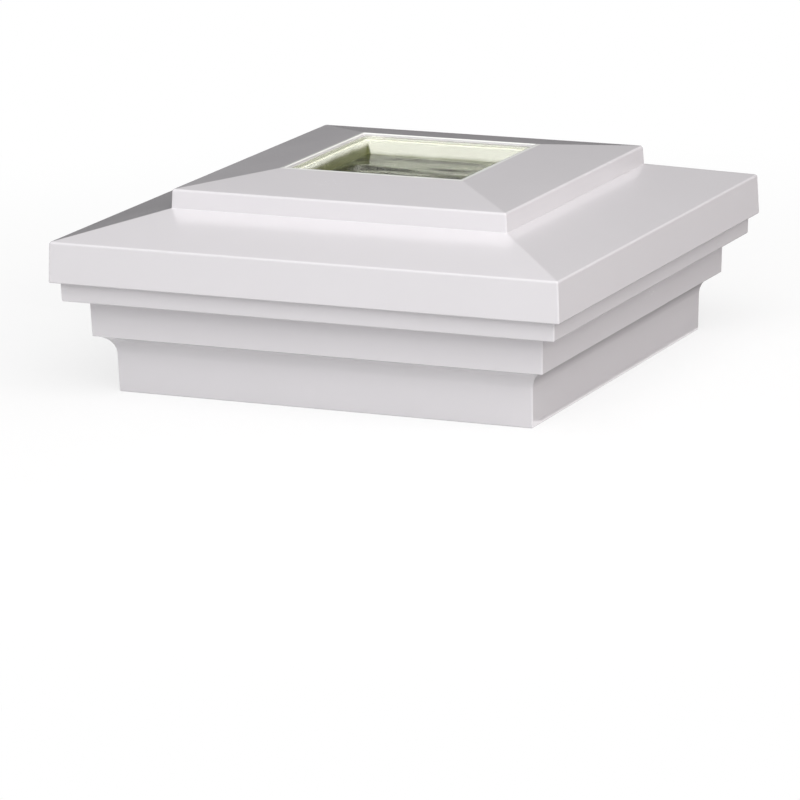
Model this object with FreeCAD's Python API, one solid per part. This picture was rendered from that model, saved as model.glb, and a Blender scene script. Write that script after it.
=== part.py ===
import FreeCAD, Part
import math
import os

from FreeCAD import Vector

# Deck post cap light: a square moulded cap that sits over a 5 in post sleeve.
# Millimetres, +Z up, front face towards -Y, origin at the middle of the skirt's rim.

# ---- driving dimensions: post and collar --------------------------------------------------
POST_WIDTH = 127.0            # square post sleeve that the cap goes over
POST_CLEARANCE = 0.4          # each side, between sleeve and centring fins
LIGHT_GAP = 11.0              # sleeve to skirt, where the light comes out
COLLAR_WALL = 2.46            # wall of the collar moulding
SKIRT_HEIGHT = 13.4           # straight part of the skirt, below the cove
SKIRT_DRAFT = 0.44            # skirt is this much wider each side at its top
COVE_RADIUS = 7.0
COVE_REACH = 6.06             # cove carries the outline out by this much
COVE_SLOPE = 0.204            # rise per mm of the cove's last stretch
LOWER_STRIP_HEIGHT = 13.22
LOWER_STRIP_DRAFT = 0.39
STRIP_STEP = 6.97             # ledge between the two strips
UPPER_STRIP_HEIGHT = 6.83
UPPER_STRIP_DRAFT = 0.23
ARRIS = 0.4                   # rounding of the collar's outer edges

# ---- driving dimensions: roof -------------------------------------------------------------
FASCIA_GAP = 0.3              # collar to fascia, where the collar slides up inside it
FASCIA_WALL = 2.65
FASCIA_HEIGHT = 14.1
FASCIA_DRAFT = 0.5            # fascia leans in by this much at its top
FASCIA_ARRIS = 0.9
TIER_WIDTH = 124.8            # raised upper tier
TIER_HEIGHT = 6.578           # upright band of the tier above the lower roof
TIER_DRAFT = 0.34
TIER_FILLET = 0.3             # along the band's foot
EAVE_SLOPE = 0.251            # rise per mm of the lower roof
CROWN_SLOPE = 0.1425          # rise per mm of the upper roof
ROOF_WALL = 3.0

# ---- driving dimensions: window and solar panel ----------------------------------------------
WINDOW_WIDTH = 66.0
GLASS_RECESS = 1.0            # glass top below the roof's edge
GLASS_THICKNESS = 3.0
GLASS_CLEARANCE = 0.3
GASKET_THICKNESS = 0.6
GASKET_WIDTH = 1.4
RING_WALL = 3.2               # wall round the window opening
RING_DEPTH = 7.0              # how far that wall hangs below the roof's edge
TRAY_WALL = 1.8
TRAY_FLOOR = 2.0
TRAY_FLANGE = 2.5             # thickness of the flange that seats on the window wall
TRAY_SCREW_INSET = 5.5        # screw centre outside the window edge
TRAY_BOSS_WALL = 1.2          # roof's bosses, beyond the screws' heads
TRAY_EAR_WALL = 1.6           # tray's ears, beyond the screws' heads
PANEL_DEPTH = 9.4             # panel's top below the roof's edge
RESIN_THICKNESS = 0.8
CELL_THICKNESS = 0.3
CELL_GAP = 0.8
CELL_COLUMNS = 4
RIBBON_WIDTH = 1.4
RIBBON_THICKNESS = 0.15
PANEL_BOARD = 1.6

# ---- driving dimensions: chassis ---------------------------------------------------------------
SHOULDER_FLOOR = 2.65         # collar's inner ledge, thickness above the cove
CHASSIS_PLATE = 2.5
CHASSIS_CLEARANCE = 0.3
FIN_DEPTH = 17.0              # centring fins hang this far below the chassis
FIN_THICKNESS = 2.0
FIN_LUG_GAP = 5.8             # fin to the screw lug in the collar's corner
PAD_THICKNESS = 1.5
PAD_LENGTH = 40.0
PAD_WIDTH = 5.8
LUG_INSET = 5.0               # corner screw centre from the skirt's inside
LUG_THICKNESS = 2.65
LUG_HALF = 5.2
BOSS_RADIUS = 4.5
RIB_HEIGHT = 5.0
RIB_THICKNESS = 2.0
STANDOFF_WALL = 1.6           # round the board screws
STANDOFF_FLOOR = 1.2          # left under the board screws' holes

# ---- driving dimensions: lamps ------------------------------------------------------------------
LAMP_END_GAP = 1.5            # diffuser's ends to the fins, which it lies between
LAMP_MARGIN = 1.3             # diffuser to fins' line and to skirt
DIFFUSER_DEPTH = 6.2
DIFFUSER_WALL = 1.2
DIFFUSER_ROUND = 1.08         # rounding of the diffuser's lower edges
LED_BOARD = 1.0
LED_COUNT = 6
LED_LENGTH = 3.5
LED_WIDTH = 2.8
LED_HEIGHT = 0.8

# ---- driving dimensions: battery -------------------------------------------------------------
CELL_RADIUS = 7.25            # size AA cell
CELL_LENGTH = 50.5
CELL_RIM = 0.6                # rounding of a cell's rims
NUB_LENGTH = 1.5
NUB_RADIUS = 2.75
CELL_PITCH = 15.2
BATTERY_X = -10.0
BATTERY_Y = -20.0
BOX_WALL = 1.8
LEAF_ROOM = 5.5               # beyond a cell's length, for the contacts and their spring leaves
BOX_SCREW_INSET = 9.3333      # box's screws from the ends of its opening
BOX_SCREW_WALL = 1.0          # round the box's screws
BOX_SIDE_GAP = 0.5            # cell to side wall
SEAT_GAP = 0.3                # running gap under and over what lies loose
CONTACT_THICKNESS = 0.4
CONTACT_WIDTH = 8.0
STRAP_WIDTH = 4.0             # strap between the two contacts of the bridge
TAB_WIDTH = 4.0               # solder tabs through the box's top
TAB_HEIGHT = 2.5
COVER_THICKNESS = 2.0
COVER_LIP = 3.2               # cover reaches this far past the opening
RAIL_WALL = 2.4
RAIL_LIP = 2.0
GRIP_GROOVES = 5
GRIP_INSET = 8.0              # first finger groove from the cover's closed end
GRIP_PITCH = 3.0
GRIP_LENGTH = 20.0
GRIP_RADIUS = 0.7

# ---- driving dimensions: control board and switch ------------------------------------------------
BOARD_LENGTH = 56.0
BOARD_WIDTH = 36.0
BOARD_THICKNESS = 1.6
BOARD_X = 0.0
BOARD_Y = 28.0
BOARD_STANDOFF = 5.5
BOARD_HOLE_INSET = 4.0
CHIP_PLACE = (-8.0, 2.0)      # these four are measured from the middle of the board
COIL_PLACE = (9.0, 6.0)
CAN_PLACES = ((8.0, -7.0), (17.0, -7.0))
PLUG_PLACES = ((-20.0, -6.0), (-20.0, 6.0), (22.0, 5.0), (-4.0, -13.0))   # battery, panel, switch, lamps
CHIP_WIDTH = 6.0
CHIP_LENGTH = 9.0
CHIP_THICKNESS = 1.7
CHIP_STANDOFF = 0.2
CHIP_LEADS = 7
LEAD_PITCH = 1.27
LEAD_WIDTH = 0.4
LEAD_THICKNESS = 0.5
LEAD_SPAN = 8.8
COIL_RADIUS = 4.1
COIL_HEIGHT = 3.6
COIL_FLANGE = 0.9             # core's end plates, beyond the coil and
COIL_PLATE = 1.2              # their thickness
CAN_RADIUS = 3.15
CAN_HEIGHT = 9.0
CAN_CRIMP = 0.3               # radius of the groove round a can's foot
CAN_CRIMP_AT = 1.5
PLUG_SIZE = 6.0
PLUG_HEIGHT = 6.5
SWITCH_X = 46.0
SWITCH_Y = 28.0
SWITCH_TRAVEL = 4.0
SWITCH_WIDTH = 8.0
SWITCH_LENGTH = 19.0
SWITCH_HEIGHT = 7.0
SWITCH_FLANGE = 1.0
SWITCH_FLANGE_LENGTH = 32.0
SWITCH_LUG = 2.5              # solder lugs stand up by this much
SWITCH_LUGS = (-4.0, 0.0, 4.0)     # their places along the switch
SWITCH_LUG_LENGTH = 2.0
SWITCH_LUG_THICKNESS = 0.8
SWITCH_SCREW_EDGE = 0.8       # screws' heads to the flange's ends
KNOB_WIDTH = 3.2
KNOB_LENGTH = 3.6
KNOB_REACH = 2.2              # knob stands this far below the chassis
KNOB_RIDGE_PITCH = 0.9
KNOB_GROOVE = 0.4             # width and depth of the knob's grooves
SLIDER_BASE = 1.8
SLIDER_EDGE = 1.0             # slider's base beyond its knob

# ---- driving dimensions: screws and wires ----------------------------------------------------
HOLE_CLEARANCE = 0.3          # screw shank in a plain hole
THREAD_CLEARANCE = 0.05       # screw shank in the hole that it cuts its thread in
CORNER_SCREW = (1.95, 18.0, 3.9, 2.4)     # shank radius, length, head radius, head height
SMALL_SCREW = (1.25, 8.0, 2.5, 1.6)
TRAY_SCREW = (1.25, 5.6, 2.4, 1.5)
TINY_SCREW = (0.95, 4.0, 1.8, 1.2)
TIP_ROOM = 1.0                # screw hole beyond the screw's tip
SHORT_TIP_ROOM = 0.4          # the same in the roof's small bosses
BOX_TIP_ROOM = 0.6            # the same in the battery box's lugs
WIRE_RADIUS = 0.65
WIRE_HOLE = 2.2
WIRE_PITCH = 2.0
WIRE_BEND = 3.0
PANEL_WIRE_Y = 12.0
PANEL_WIRE_DROP = 2.6         # panel wires run this far under the tray
LED_WIRE_LAYER = 1.35         # the lamp wires cross at levels this far apart
LED_WIRE_SPACING = 1.5        # and stand this far apart in their socket
LED_WIRE_GAP = 2.4            # red to black, there
PAST = 1.0                    # cuts run past a surface, or into a joined piece, by this much

# ---- outline of the collar, from the skirt's rim up ---------------------------------------------
post_half = POST_WIDTH / 2
socket_half = post_half + POST_CLEARANCE
skirt_inner = post_half + LIGHT_GAP
skirt_rim = skirt_inner + COLLAR_WALL
skirt_top = skirt_rim + SKIRT_DRAFT
cove_turn = math.pi / 2 + math.atan(COVE_SLOPE)
cove_corner_z = SKIRT_HEIGHT + COVE_RADIUS / math.tan(cove_turn / 2)
lower_strip_bottom = skirt_top + COVE_REACH
lower_strip_z = cove_corner_z + COVE_REACH * COVE_SLOPE
lower_strip_top = lower_strip_bottom + LOWER_STRIP_DRAFT
upper_strip_z = lower_strip_z + LOWER_STRIP_HEIGHT
upper_strip_bottom = lower_strip_top + STRIP_STEP
upper_strip_top = upper_strip_bottom + UPPER_STRIP_DRAFT

# ---- outline of the roof, from the fascia's lower edge up ---------------------------------------
fascia_z = upper_strip_z + UPPER_STRIP_HEIGHT
fascia_bottom = upper_strip_top + FASCIA_GAP + FASCIA_WALL
fascia_top = fascia_bottom - FASCIA_DRAFT
eave_z = fascia_z + FASCIA_HEIGHT
tier_half = TIER_WIDTH / 2
band_z = eave_z + (fascia_top - tier_half) * EAVE_SLOPE
tier_z = band_z + TIER_HEIGHT
tier_top = tier_half - TIER_DRAFT
window_half = WINDOW_WIDTH / 2
roof_z = tier_z + (tier_top - window_half) * CROWN_SLOPE

# ---- levels inside -----------------------------------------------------------------------------
glass_top = roof_z - GLASS_RECESS
glass_bottom = glass_top - GLASS_THICKNESS
tray_top = glass_bottom - GASKET_THICKNESS
ring_half = window_half + RING_WALL
ring_bottom = roof_z - RING_DEPTH
tray_outer = window_half - GLASS_CLEARANCE
tray_inner = tray_outer - TRAY_WALL
resin_top = roof_z - PANEL_DEPTH
resin_bottom = resin_top - RESIN_THICKNESS
panel_board_top = resin_bottom - CELL_THICKNESS
panel_board_bottom = panel_board_top - PANEL_BOARD
tray_bottom = panel_board_bottom - TRAY_FLOOR
panel_half = tray_inner - GLASS_CLEARANCE
tray_screw_at = window_half + TRAY_SCREW_INSET

shoulder_z = lower_strip_z + SHOULDER_FLOOR
chassis_top = shoulder_z + CHASSIS_PLATE
collar_inner_low = lower_strip_bottom - COLLAR_WALL
collar_inner_high = upper_strip_bottom - COLLAR_WALL
chassis_half = collar_inner_low - CHASSIS_CLEARANCE
corner_at = skirt_inner - LUG_INSET
pad_bottom = shoulder_z - PAD_THICKNESS
fin_middle = corner_at - LUG_HALF - FIN_LUG_GAP - FIN_THICKNESS / 2

lamp_half = fin_middle - FIN_THICKNESS / 2 - LAMP_END_GAP
lamp_inner = socket_half + LAMP_MARGIN
lamp_outer = skirt_inner - LAMP_MARGIN / 2
lamp_middle = (lamp_inner + lamp_outer) / 2
led_board_bottom = shoulder_z - LED_BOARD
diffuser_bottom = shoulder_z - DIFFUSER_DEPTH

cell_z = shoulder_z + SEAT_GAP + CELL_RADIUS
south_cell_y = BATTERY_Y - CELL_PITCH / 2
north_cell_y = BATTERY_Y + CELL_PITCH / 2
box_length = CELL_LENGTH + LEAF_ROOM
box_inner_width = CELL_PITCH + 2 * (CELL_RADIUS + BOX_SIDE_GAP)
box_ceiling = cell_z + CELL_RADIUS + SEAT_GAP
box_top = box_ceiling + BOX_WALL
box_west = BATTERY_X - box_length / 2
box_east = BATTERY_X + box_length / 2
box_south = BATTERY_Y - box_inner_width / 2
box_north = BATTERY_Y + box_inner_width / 2
cover_bottom = shoulder_z - COVER_THICKNESS
board_bottom = chassis_top + BOARD_STANDOFF
board_top = board_bottom + BOARD_THICKNESS
socket_top = board_top + PLUG_HEIGHT
slider_base_bottom = chassis_top + SEAT_GAP
slider_base_top = slider_base_bottom + SLIDER_BASE

SIDES = ("front", "right", "back", "left")     # a quarter turn apart, starting at -Y
FAR = 400.0                                    # longer than any side of the cap


# ---- general shapes ------------------------------------------------------------------------------
def block(x0, x1, y0, y1, z0, z1):
    """Box between two corners."""
    return Part.makeBox(x1 - x0, y1 - y0, z1 - z0, Vector(x0, y0, z0))


def slab(half, z0, z1):
    """Square box centred on the Z axis."""
    return block(-half, half, -half, half, z0, z1)


def rod(x, y, z0, z1, radius):
    """Upright round bar."""
    return Part.makeCylinder(radius, z1 - z0, Vector(x, y, z0))


def joined(shapes):
    """All shapes fused into one."""
    whole = shapes[0]
    if len(shapes) > 1:
        whole = whole.multiFuse(list(shapes[1:]))
    return whole.removeSplitter()


def rounded_outline(points):
    """Closed wire in the XZ plane through (x, z, corner radius) points, corners as tangent arcs."""
    stretches = []
    for i, (x, z, radius) in enumerate(points):
        corner = Vector(x, 0, z)
        before = Vector(points[i - 1][0], 0, points[i - 1][1])
        after = Vector(points[(i + 1) % len(points)][0], 0, points[(i + 1) % len(points)][1])
        if radius <= 0:
            stretches.append((corner, None, corner))
            continue
        back = (before - corner).normalize()
        ahead = (after - corner).normalize()
        half_angle = back.getAngle(ahead) / 2
        reach = radius / math.tan(half_angle)
        middle = (back + ahead).normalize() * (radius / math.sin(half_angle) - radius)
        stretches.append((corner + back * reach, corner + middle, corner + ahead * reach))
    edges = []
    for i, (start, middle, end) in enumerate(stretches):
        if middle is not None:
            edges.append(Part.Arc(start, middle, end).toShape())
        following = stretches[(i + 1) % len(stretches)][0]
        if (following - end).Length > 1e-6:
            edges.append(Part.LineSegment(end, following).toShape())
    return Part.Wire(edges)


def square_solid(points):
    """Square body with mitred corners, from the right half of its section, bottom to top."""
    mirrored = [(-x, z, radius) for x, z, radius in reversed(points)]
    face = Part.Face(rounded_outline(points + mirrored))
    face.translate(Vector(0, -FAR / 2, 0))
    along = face.extrude(Vector(0, FAR, 0))
    across = along.copy()
    across.rotate(Vector(0, 0, 0), Vector(0, 0, 1), 90)
    return along.common(across).removeSplitter()


def on_side(shape, turns):
    """Copy of a shape made for the front (-Y) side, turned to another side."""
    copy = shape.copy()
    copy.rotate(Vector(0, 0, 0), Vector(0, 0, 1), 90 * turns)
    return copy


def four_corners(distance):
    """The four (x, y) points at equal distance along the diagonals."""
    return [(sx * distance, sy * distance) for sx in (-1, 1) for sy in (-1, 1)]


def screw(x, y, seat_z, size, up=True):
    """Pan-head screw, its head's flat side on seat_z, its shank going up or down from there."""
    shank, length, head, head_height = size
    sign = 1 if up else -1
    dome = head_height * 0.35
    profile = [Vector(0, 0, -head_height * sign), Vector(head - dome, 0, -head_height * sign),
               Vector(head, 0, -(head_height - dome) * sign), Vector(head, 0, 0),
               Vector(shank, 0, 0), Vector(shank, 0, (length - shank) * sign),
               Vector(shank * 0.3, 0, length * sign), Vector(0, 0, length * sign)]
    face = Part.Face(Part.makePolygon(profile + [profile[0]]))
    body = face.revolve(Vector(0, 0, 0), Vector(0, 0, 1), 360)
    slot = shank * 0.45
    reach = head * 0.62
    deep = head_height * 0.45
    z0, z1 = sorted((-head_height * 1.1 * sign, -(head_height - deep) * sign))
    cross = [block(-reach, reach, -slot / 2, slot / 2, z0, z1),
             block(-slot / 2, slot / 2, -reach, reach, z0, z1)]
    body = body.cut(joined(cross))
    body.translate(Vector(x, y, seat_z))
    return body


def wire_tube(points, bend):
    """Insulated wire along straight runs, with tangent arcs of radius bend at the turns."""
    route = [Vector(*p) for p in points]
    edges = []
    here = route[0]
    for before, corner, after in zip(route, route[1:], route[2:]):
        back = (before - corner).normalize()
        ahead = (after - corner).normalize()
        half_angle = back.getAngle(ahead) / 2
        reach = bend / math.tan(half_angle)
        start = corner + back * reach
        middle = corner + (back + ahead).normalize() * (bend / math.sin(half_angle) - bend)
        end = corner + ahead * reach
        edges.append(Part.LineSegment(here, start).toShape())
        edges.append(Part.Arc(start, middle, end).toShape())
        here = end
    edges.append(Part.LineSegment(here, route[-1]).toShape())
    path = Part.Wire(edges)
    ring = Part.Wire([Part.Circle(route[0], route[1] - route[0], WIRE_RADIUS).toShape()])
    tube = path.makePipeShell([ring], True, True)
    wanted = math.pi * WIRE_RADIUS ** 2 * path.Length
    print("wire %.1f mm long, bend %.1f mm, volume off by %.3f%%"
          % (path.Length, bend, 100 * (tube.Volume / wanted - 1)))
    return tube


# ---- roof and collar ------------------------------------------------------------------------------
def eave_surface(half):
    """Height of the lower roof's outside at a distance from the middle."""
    return eave_z + (fascia_top - half) * EAVE_SLOPE


def crown_surface(half):
    """Height of the upper roof's outside at a distance from the middle."""
    return tier_z + (tier_top - half) * CROWN_SLOPE


def fascia_inside(z):
    """Half width of the fascia's inner face at a height."""
    lean = FASCIA_DRAFT * (z - fascia_z) / FASCIA_HEIGHT
    return fascia_bottom - FASCIA_WALL - lean


def make_roof_shell():
    """Fascia, two sloping tiers, window opening, its wall and the screw bosses: one moulding."""
    outside = square_solid([(fascia_bottom, fascia_z, ARRIS),
                            (fascia_top, eave_z, FASCIA_ARRIS),
                            (tier_half, band_z, TIER_FILLET),
                            (tier_top, tier_z, FASCIA_ARRIS),
                            (window_half, roof_z, ARRIS)])
    inner_tier = tier_half - ROOF_WALL
    inner_eave_z = eave_surface(fascia_inside(eave_z)) - ROOF_WALL
    inside = square_solid([(fascia_inside(fascia_z - ROOF_WALL), fascia_z - ROOF_WALL, 0),
                           (fascia_inside(inner_eave_z), inner_eave_z, 0),
                           (inner_tier, eave_surface(inner_tier) - ROOF_WALL, 0),
                           (inner_tier - TIER_DRAFT, crown_surface(inner_tier) - ROOF_WALL, 0),
                           (window_half, crown_surface(window_half) - ROOF_WALL, 0)])
    inside = inside.cut(slab(ring_half, ring_bottom, roof_z))
    shell = outside.cut(inside)
    bosses = [rod(x, y, chassis_top, roof_z, BOSS_RADIUS) for x, y in four_corners(corner_at)]
    bosses += [rod(x, y, ring_bottom, roof_z, TRAY_SCREW[2] + TRAY_BOSS_WALL)
               for x, y in four_corners(tray_screw_at)]
    shell = joined([shell] + [boss.common(outside.fuse(inside)) for boss in bosses])
    shell = shell.cut(slab(window_half, ring_bottom - PAST, roof_z + PAST))
    radius, length = CORNER_SCREW[0] + THREAD_CLEARANCE, CORNER_SCREW[1]
    for x, y in four_corners(corner_at):
        deep = shoulder_z - LUG_THICKNESS + length + TIP_ROOM
        shell = shell.cut(rod(x, y, chassis_top - PAST, deep, radius))
    radius, length = TRAY_SCREW[0] + THREAD_CLEARANCE, TRAY_SCREW[1]
    for x, y in four_corners(tray_screw_at):
        deep = ring_bottom - TRAY_FLANGE + length + SHORT_TIP_ROOM
        shell = shell.cut(rod(x, y, ring_bottom - PAST, deep, radius))
    return shell


def make_collar():
    """Skirt, cove, two strips, and the tongue that slides up inside the fascia."""
    tongue_top = eave_surface(fascia_top) - ROOF_WALL - FASCIA_GAP
    tongue_half = fascia_inside(tongue_top) - FASCIA_GAP
    outside = square_solid([(skirt_rim, 0, ARRIS),
                            (skirt_top, cove_corner_z, COVE_RADIUS),
                            (lower_strip_bottom, lower_strip_z, ARRIS / 2),
                            (lower_strip_top, upper_strip_z, 0),
                            (upper_strip_bottom, upper_strip_z, ARRIS),
                            (upper_strip_top, fascia_z, 0),
                            (tongue_half, tongue_top, ARRIS)])
    shell = outside.cut(slab(skirt_inner, -PAST, shoulder_z + PAST))
    shell = shell.cut(slab(collar_inner_low, shoulder_z, upper_strip_z + COLLAR_WALL + PAST))
    shell = shell.cut(slab(collar_inner_high, upper_strip_z + COLLAR_WALL, tongue_top + PAST))
    lug_inner = corner_at - LUG_HALF
    lug_outer = skirt_inner + COLLAR_WALL / 2
    lug = block(lug_inner, lug_outer, lug_inner, lug_outer, shoulder_z - LUG_THICKNESS, shoulder_z)
    shell = joined([shell] + [on_side(lug, turns) for turns in range(4)])
    for x, y in four_corners(corner_at):
        shell = shell.cut(rod(x, y, 0, shoulder_z + PAST, CORNER_SCREW[0] + HOLE_CLEARANCE))
    return shell


# ---- window and solar panel ---------------------------------------------------------------------
def make_window_glass():
    glass = slab(tray_outer, glass_bottom, glass_top)
    edges = [e for e in glass.Edges if abs(e.CenterOfMass.z - glass_top) < 1e-6]
    glass = glass.makeChamfer(GLASS_CLEARANCE, edges)
    return glass


def make_window_gasket():
    gasket = slab(tray_outer, tray_top, glass_bottom)
    return gasket.cut(slab(tray_outer - GASKET_WIDTH, tray_top, glass_bottom))


def make_solar_tray():
    """Well under the window: walls up to the gasket, floor for the panel, flange with screw ears."""
    tray = slab(tray_outer, tray_bottom, tray_top)
    ears = [rod(x, y, ring_bottom - TRAY_FLANGE, ring_bottom, TRAY_SCREW[2] + TRAY_EAR_WALL)
            for x, y in four_corners(tray_screw_at)]
    flange = slab(ring_half, ring_bottom - TRAY_FLANGE, ring_bottom)
    tray = joined([tray, flange] + ears)
    tray = tray.cut(slab(tray_inner, panel_board_bottom, tray_top + PAST))
    for x, y in four_corners(tray_screw_at):
        tray = tray.cut(rod(x, y, tray_bottom, tray_top, TRAY_SCREW[0] + HOLE_CLEARANCE))
    return tray.cut(rod(0, PANEL_WIRE_Y, tray_bottom - PAST, panel_board_bottom + PAST, WIRE_HOLE))


def make_tray_screws():
    return [screw(x, y, ring_bottom - TRAY_FLANGE, TRAY_SCREW) for x, y in four_corners(tray_screw_at)]


def make_solar_board():
    return slab(panel_half, panel_board_bottom, panel_board_top)


def cell_spans():
    """West and east edge of each solar cell strip."""
    pitch = 2 * (panel_half - CELL_GAP) / CELL_COLUMNS
    west = [-panel_half + CELL_GAP + i * pitch for i in range(CELL_COLUMNS)]
    return [(x, x + pitch - CELL_GAP) for x in west]


def make_solar_cells():
    reach = panel_half - 3 * CELL_GAP
    base = panel_board_top
    return [block(x0, x1, -reach, reach, base, base + CELL_THICKNESS - RIBBON_THICKNESS)
            for x0, x1 in cell_spans()]


def make_cell_ribbons():
    reach = panel_half - 2 * CELL_GAP
    base = resin_bottom - RIBBON_THICKNESS
    middles = [(x0 + x1) / 2 for x0, x1 in cell_spans()]
    return [block(x - RIBBON_WIDTH / 2, x + RIBBON_WIDTH / 2, -reach, reach, base, resin_bottom)
            for x in middles]


def make_panel_resin():
    return slab(panel_half, resin_bottom, resin_top)


# ---- chassis ------------------------------------------------------------------------------------
def make_chassis():
    """Plate on the collar's shoulder, with rails for the battery cover, standoffs and ribs."""
    parts = [slab(chassis_half, shoulder_z, chassis_top)]
    for x, y in board_holes():
        parts.append(rod(x, y, chassis_top, board_bottom, SMALL_SCREW[0] + STANDOFF_WALL))
    rib_reach = corner_at - BOSS_RADIUS - CHASSIS_CLEARANCE
    for sign in (-1, 1):
        parts.append(block(-rib_reach, rib_reach, sign * corner_at - RIB_THICKNESS / 2,
                           sign * corner_at + RIB_THICKNESS / 2, chassis_top, chassis_top + RIB_HEIGHT))
        parts.append(block(sign * corner_at - RIB_THICKNESS / 2, sign * corner_at + RIB_THICKNESS / 2,
                           -rib_reach, rib_reach, chassis_top, chassis_top + RIB_HEIGHT))
    parts += make_rails()
    chassis = joined(parts)
    below = shoulder_z - PAST
    above = chassis_top + PAST
    chassis = chassis.cut(block(box_west, box_east, box_south, box_north, below, above))
    for x, y in four_corners(corner_at):
        chassis = chassis.cut(rod(x, y, below, above, CORNER_SCREW[0] + HOLE_CLEARANCE))
    for x, y in board_holes():
        chassis = chassis.cut(rod(x, y, shoulder_z + STANDOFF_FLOOR, board_bottom + PAST,
                                  TINY_SCREW[0] + THREAD_CLEARANCE))
    for x, y in box_screw_points():
        chassis = chassis.cut(rod(x, y, below, above, SMALL_SCREW[0] + HOLE_CLEARANCE))
    for x, y in switch_screw_points():
        chassis = chassis.cut(rod(x, y, below, above, TINY_SCREW[0] + HOLE_CLEARANCE))
    slot_x = KNOB_WIDTH / 2 + SEAT_GAP
    slot_y = (KNOB_LENGTH + SWITCH_TRAVEL) / 2 + SEAT_GAP
    chassis = chassis.cut(block(SWITCH_X - slot_x, SWITCH_X + slot_x, SWITCH_Y - slot_y, SWITCH_Y + slot_y,
                                below, above))
    wire_slot = block(-WIRE_PITCH / 2 - WIRE_HOLE / 2, WIRE_PITCH / 2 + WIRE_HOLE / 2,
                      -lamp_middle - WIRE_HOLE / 2, -lamp_middle + WIRE_HOLE / 2,
                      below, chassis_top + RIB_HEIGHT + PAST)
    for turns in range(4):
        chassis = chassis.cut(on_side(wire_slot, turns))
    return chassis


def cover_edges():
    """West, east, south and north edge of the closed battery cover."""
    return (box_west - COVER_LIP, box_east + COVER_LIP, box_south - COVER_LIP, box_north + COVER_LIP)


def make_rails():
    """Two guide rails under the chassis, with lips under the battery cover's edges."""
    west, east, south, north = cover_edges()
    wall_z = cover_bottom - SEAT_GAP - RAIL_LIP
    rails = []
    for edge, sign in ((south, -1), (north, 1)):
        inner = edge + sign * SEAT_GAP
        outer = inner + sign * RAIL_WALL
        lip = edge - sign * RAIL_LIP
        y0, y1 = sorted((inner, outer))
        rails.append(block(west, east, y0, y1, wall_z, shoulder_z))
        y0, y1 = sorted((lip, outer))
        rails.append(block(west, east, y0, y1, wall_z, wall_z + RAIL_LIP))
    stop = west - SEAT_GAP - RAIL_WALL
    rails.append(block(stop, west - SEAT_GAP, south, north, cover_bottom, shoulder_z))
    return rails


def make_post_pads():
    """Four rubber strips under the chassis that the post sleeve's top bears on."""
    pad = block(-PAD_LENGTH / 2, PAD_LENGTH / 2, -post_half, -post_half + PAD_WIDTH, pad_bottom, shoulder_z)
    return [on_side(pad, turns) for turns in range(4)]


def make_post_guides():
    """Eight upright fins under the chassis, two on each side, that centre the post sleeve."""
    guides = []
    for sign in (-1, 1):
        middle = sign * fin_middle
        fin = block(middle - FIN_THICKNESS / 2, middle + FIN_THICKNESS / 2,
                    -skirt_inner + CHASSIS_CLEARANCE, -socket_half, shoulder_z - FIN_DEPTH, shoulder_z)
        lead_in = [e for e in fin.Edges if abs(e.CenterOfMass.z - (shoulder_z - FIN_DEPTH)) < 1e-6
                   and abs(e.CenterOfMass.y + socket_half) < 1e-6]
        fin = fin.makeChamfer(FIN_THICKNESS, lead_in)
        guides += [on_side(fin, turns) for turns in range(4)]
    return guides


def make_corner_screws():
    return [screw(x, y, shoulder_z - LUG_THICKNESS, CORNER_SCREW) for x, y in four_corners(corner_at)]


# ---- lamps ----------------------------------------------------------------------------------------
def make_led_board():
    inset = DIFFUSER_WALL + SEAT_GAP
    return block(-lamp_half + inset, lamp_half - inset, -lamp_outer + inset, -lamp_inner - inset,
                 led_board_bottom, shoulder_z)


def make_leds():
    pitch = 2 * (lamp_half - DIFFUSER_WALL) / LED_COUNT
    first = -pitch * (LED_COUNT - 1) / 2
    return [block(first + i * pitch - LED_LENGTH / 2, first + i * pitch + LED_LENGTH / 2,
                  -lamp_middle - LED_WIDTH / 2, -lamp_middle + LED_WIDTH / 2,
                  led_board_bottom - LED_HEIGHT, led_board_bottom) for i in range(LED_COUNT)]


def make_diffuser():
    """Opal trough under one row of lamps."""
    outer = block(-lamp_half, lamp_half, -lamp_outer, -lamp_inner, diffuser_bottom, shoulder_z)
    low = [e for e in outer.Edges if abs(e.CenterOfMass.z - diffuser_bottom) < 1e-6]
    outer = outer.makeFillet(min(DIFFUSER_ROUND, DIFFUSER_WALL * 0.95), low)
    inner = lamp_half - DIFFUSER_WALL
    return outer.cut(block(-inner, inner, -lamp_outer + DIFFUSER_WALL, -lamp_inner - DIFFUSER_WALL,
                           diffuser_bottom + DIFFUSER_WALL, shoulder_z))


# ---- battery ----------------------------------------------------------------------------------------
def box_screw_points():
    """Screws either side of the battery box, clear of the rails."""
    _, _, south, north = cover_edges()
    away = SEAT_GAP + RAIL_WALL + SMALL_SCREW[2] + BOX_SCREW_WALL
    return [(x, y) for x in (box_west + BOX_SCREW_INSET, box_east - BOX_SCREW_INSET)
            for y in (south - away, north + away)]


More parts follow.
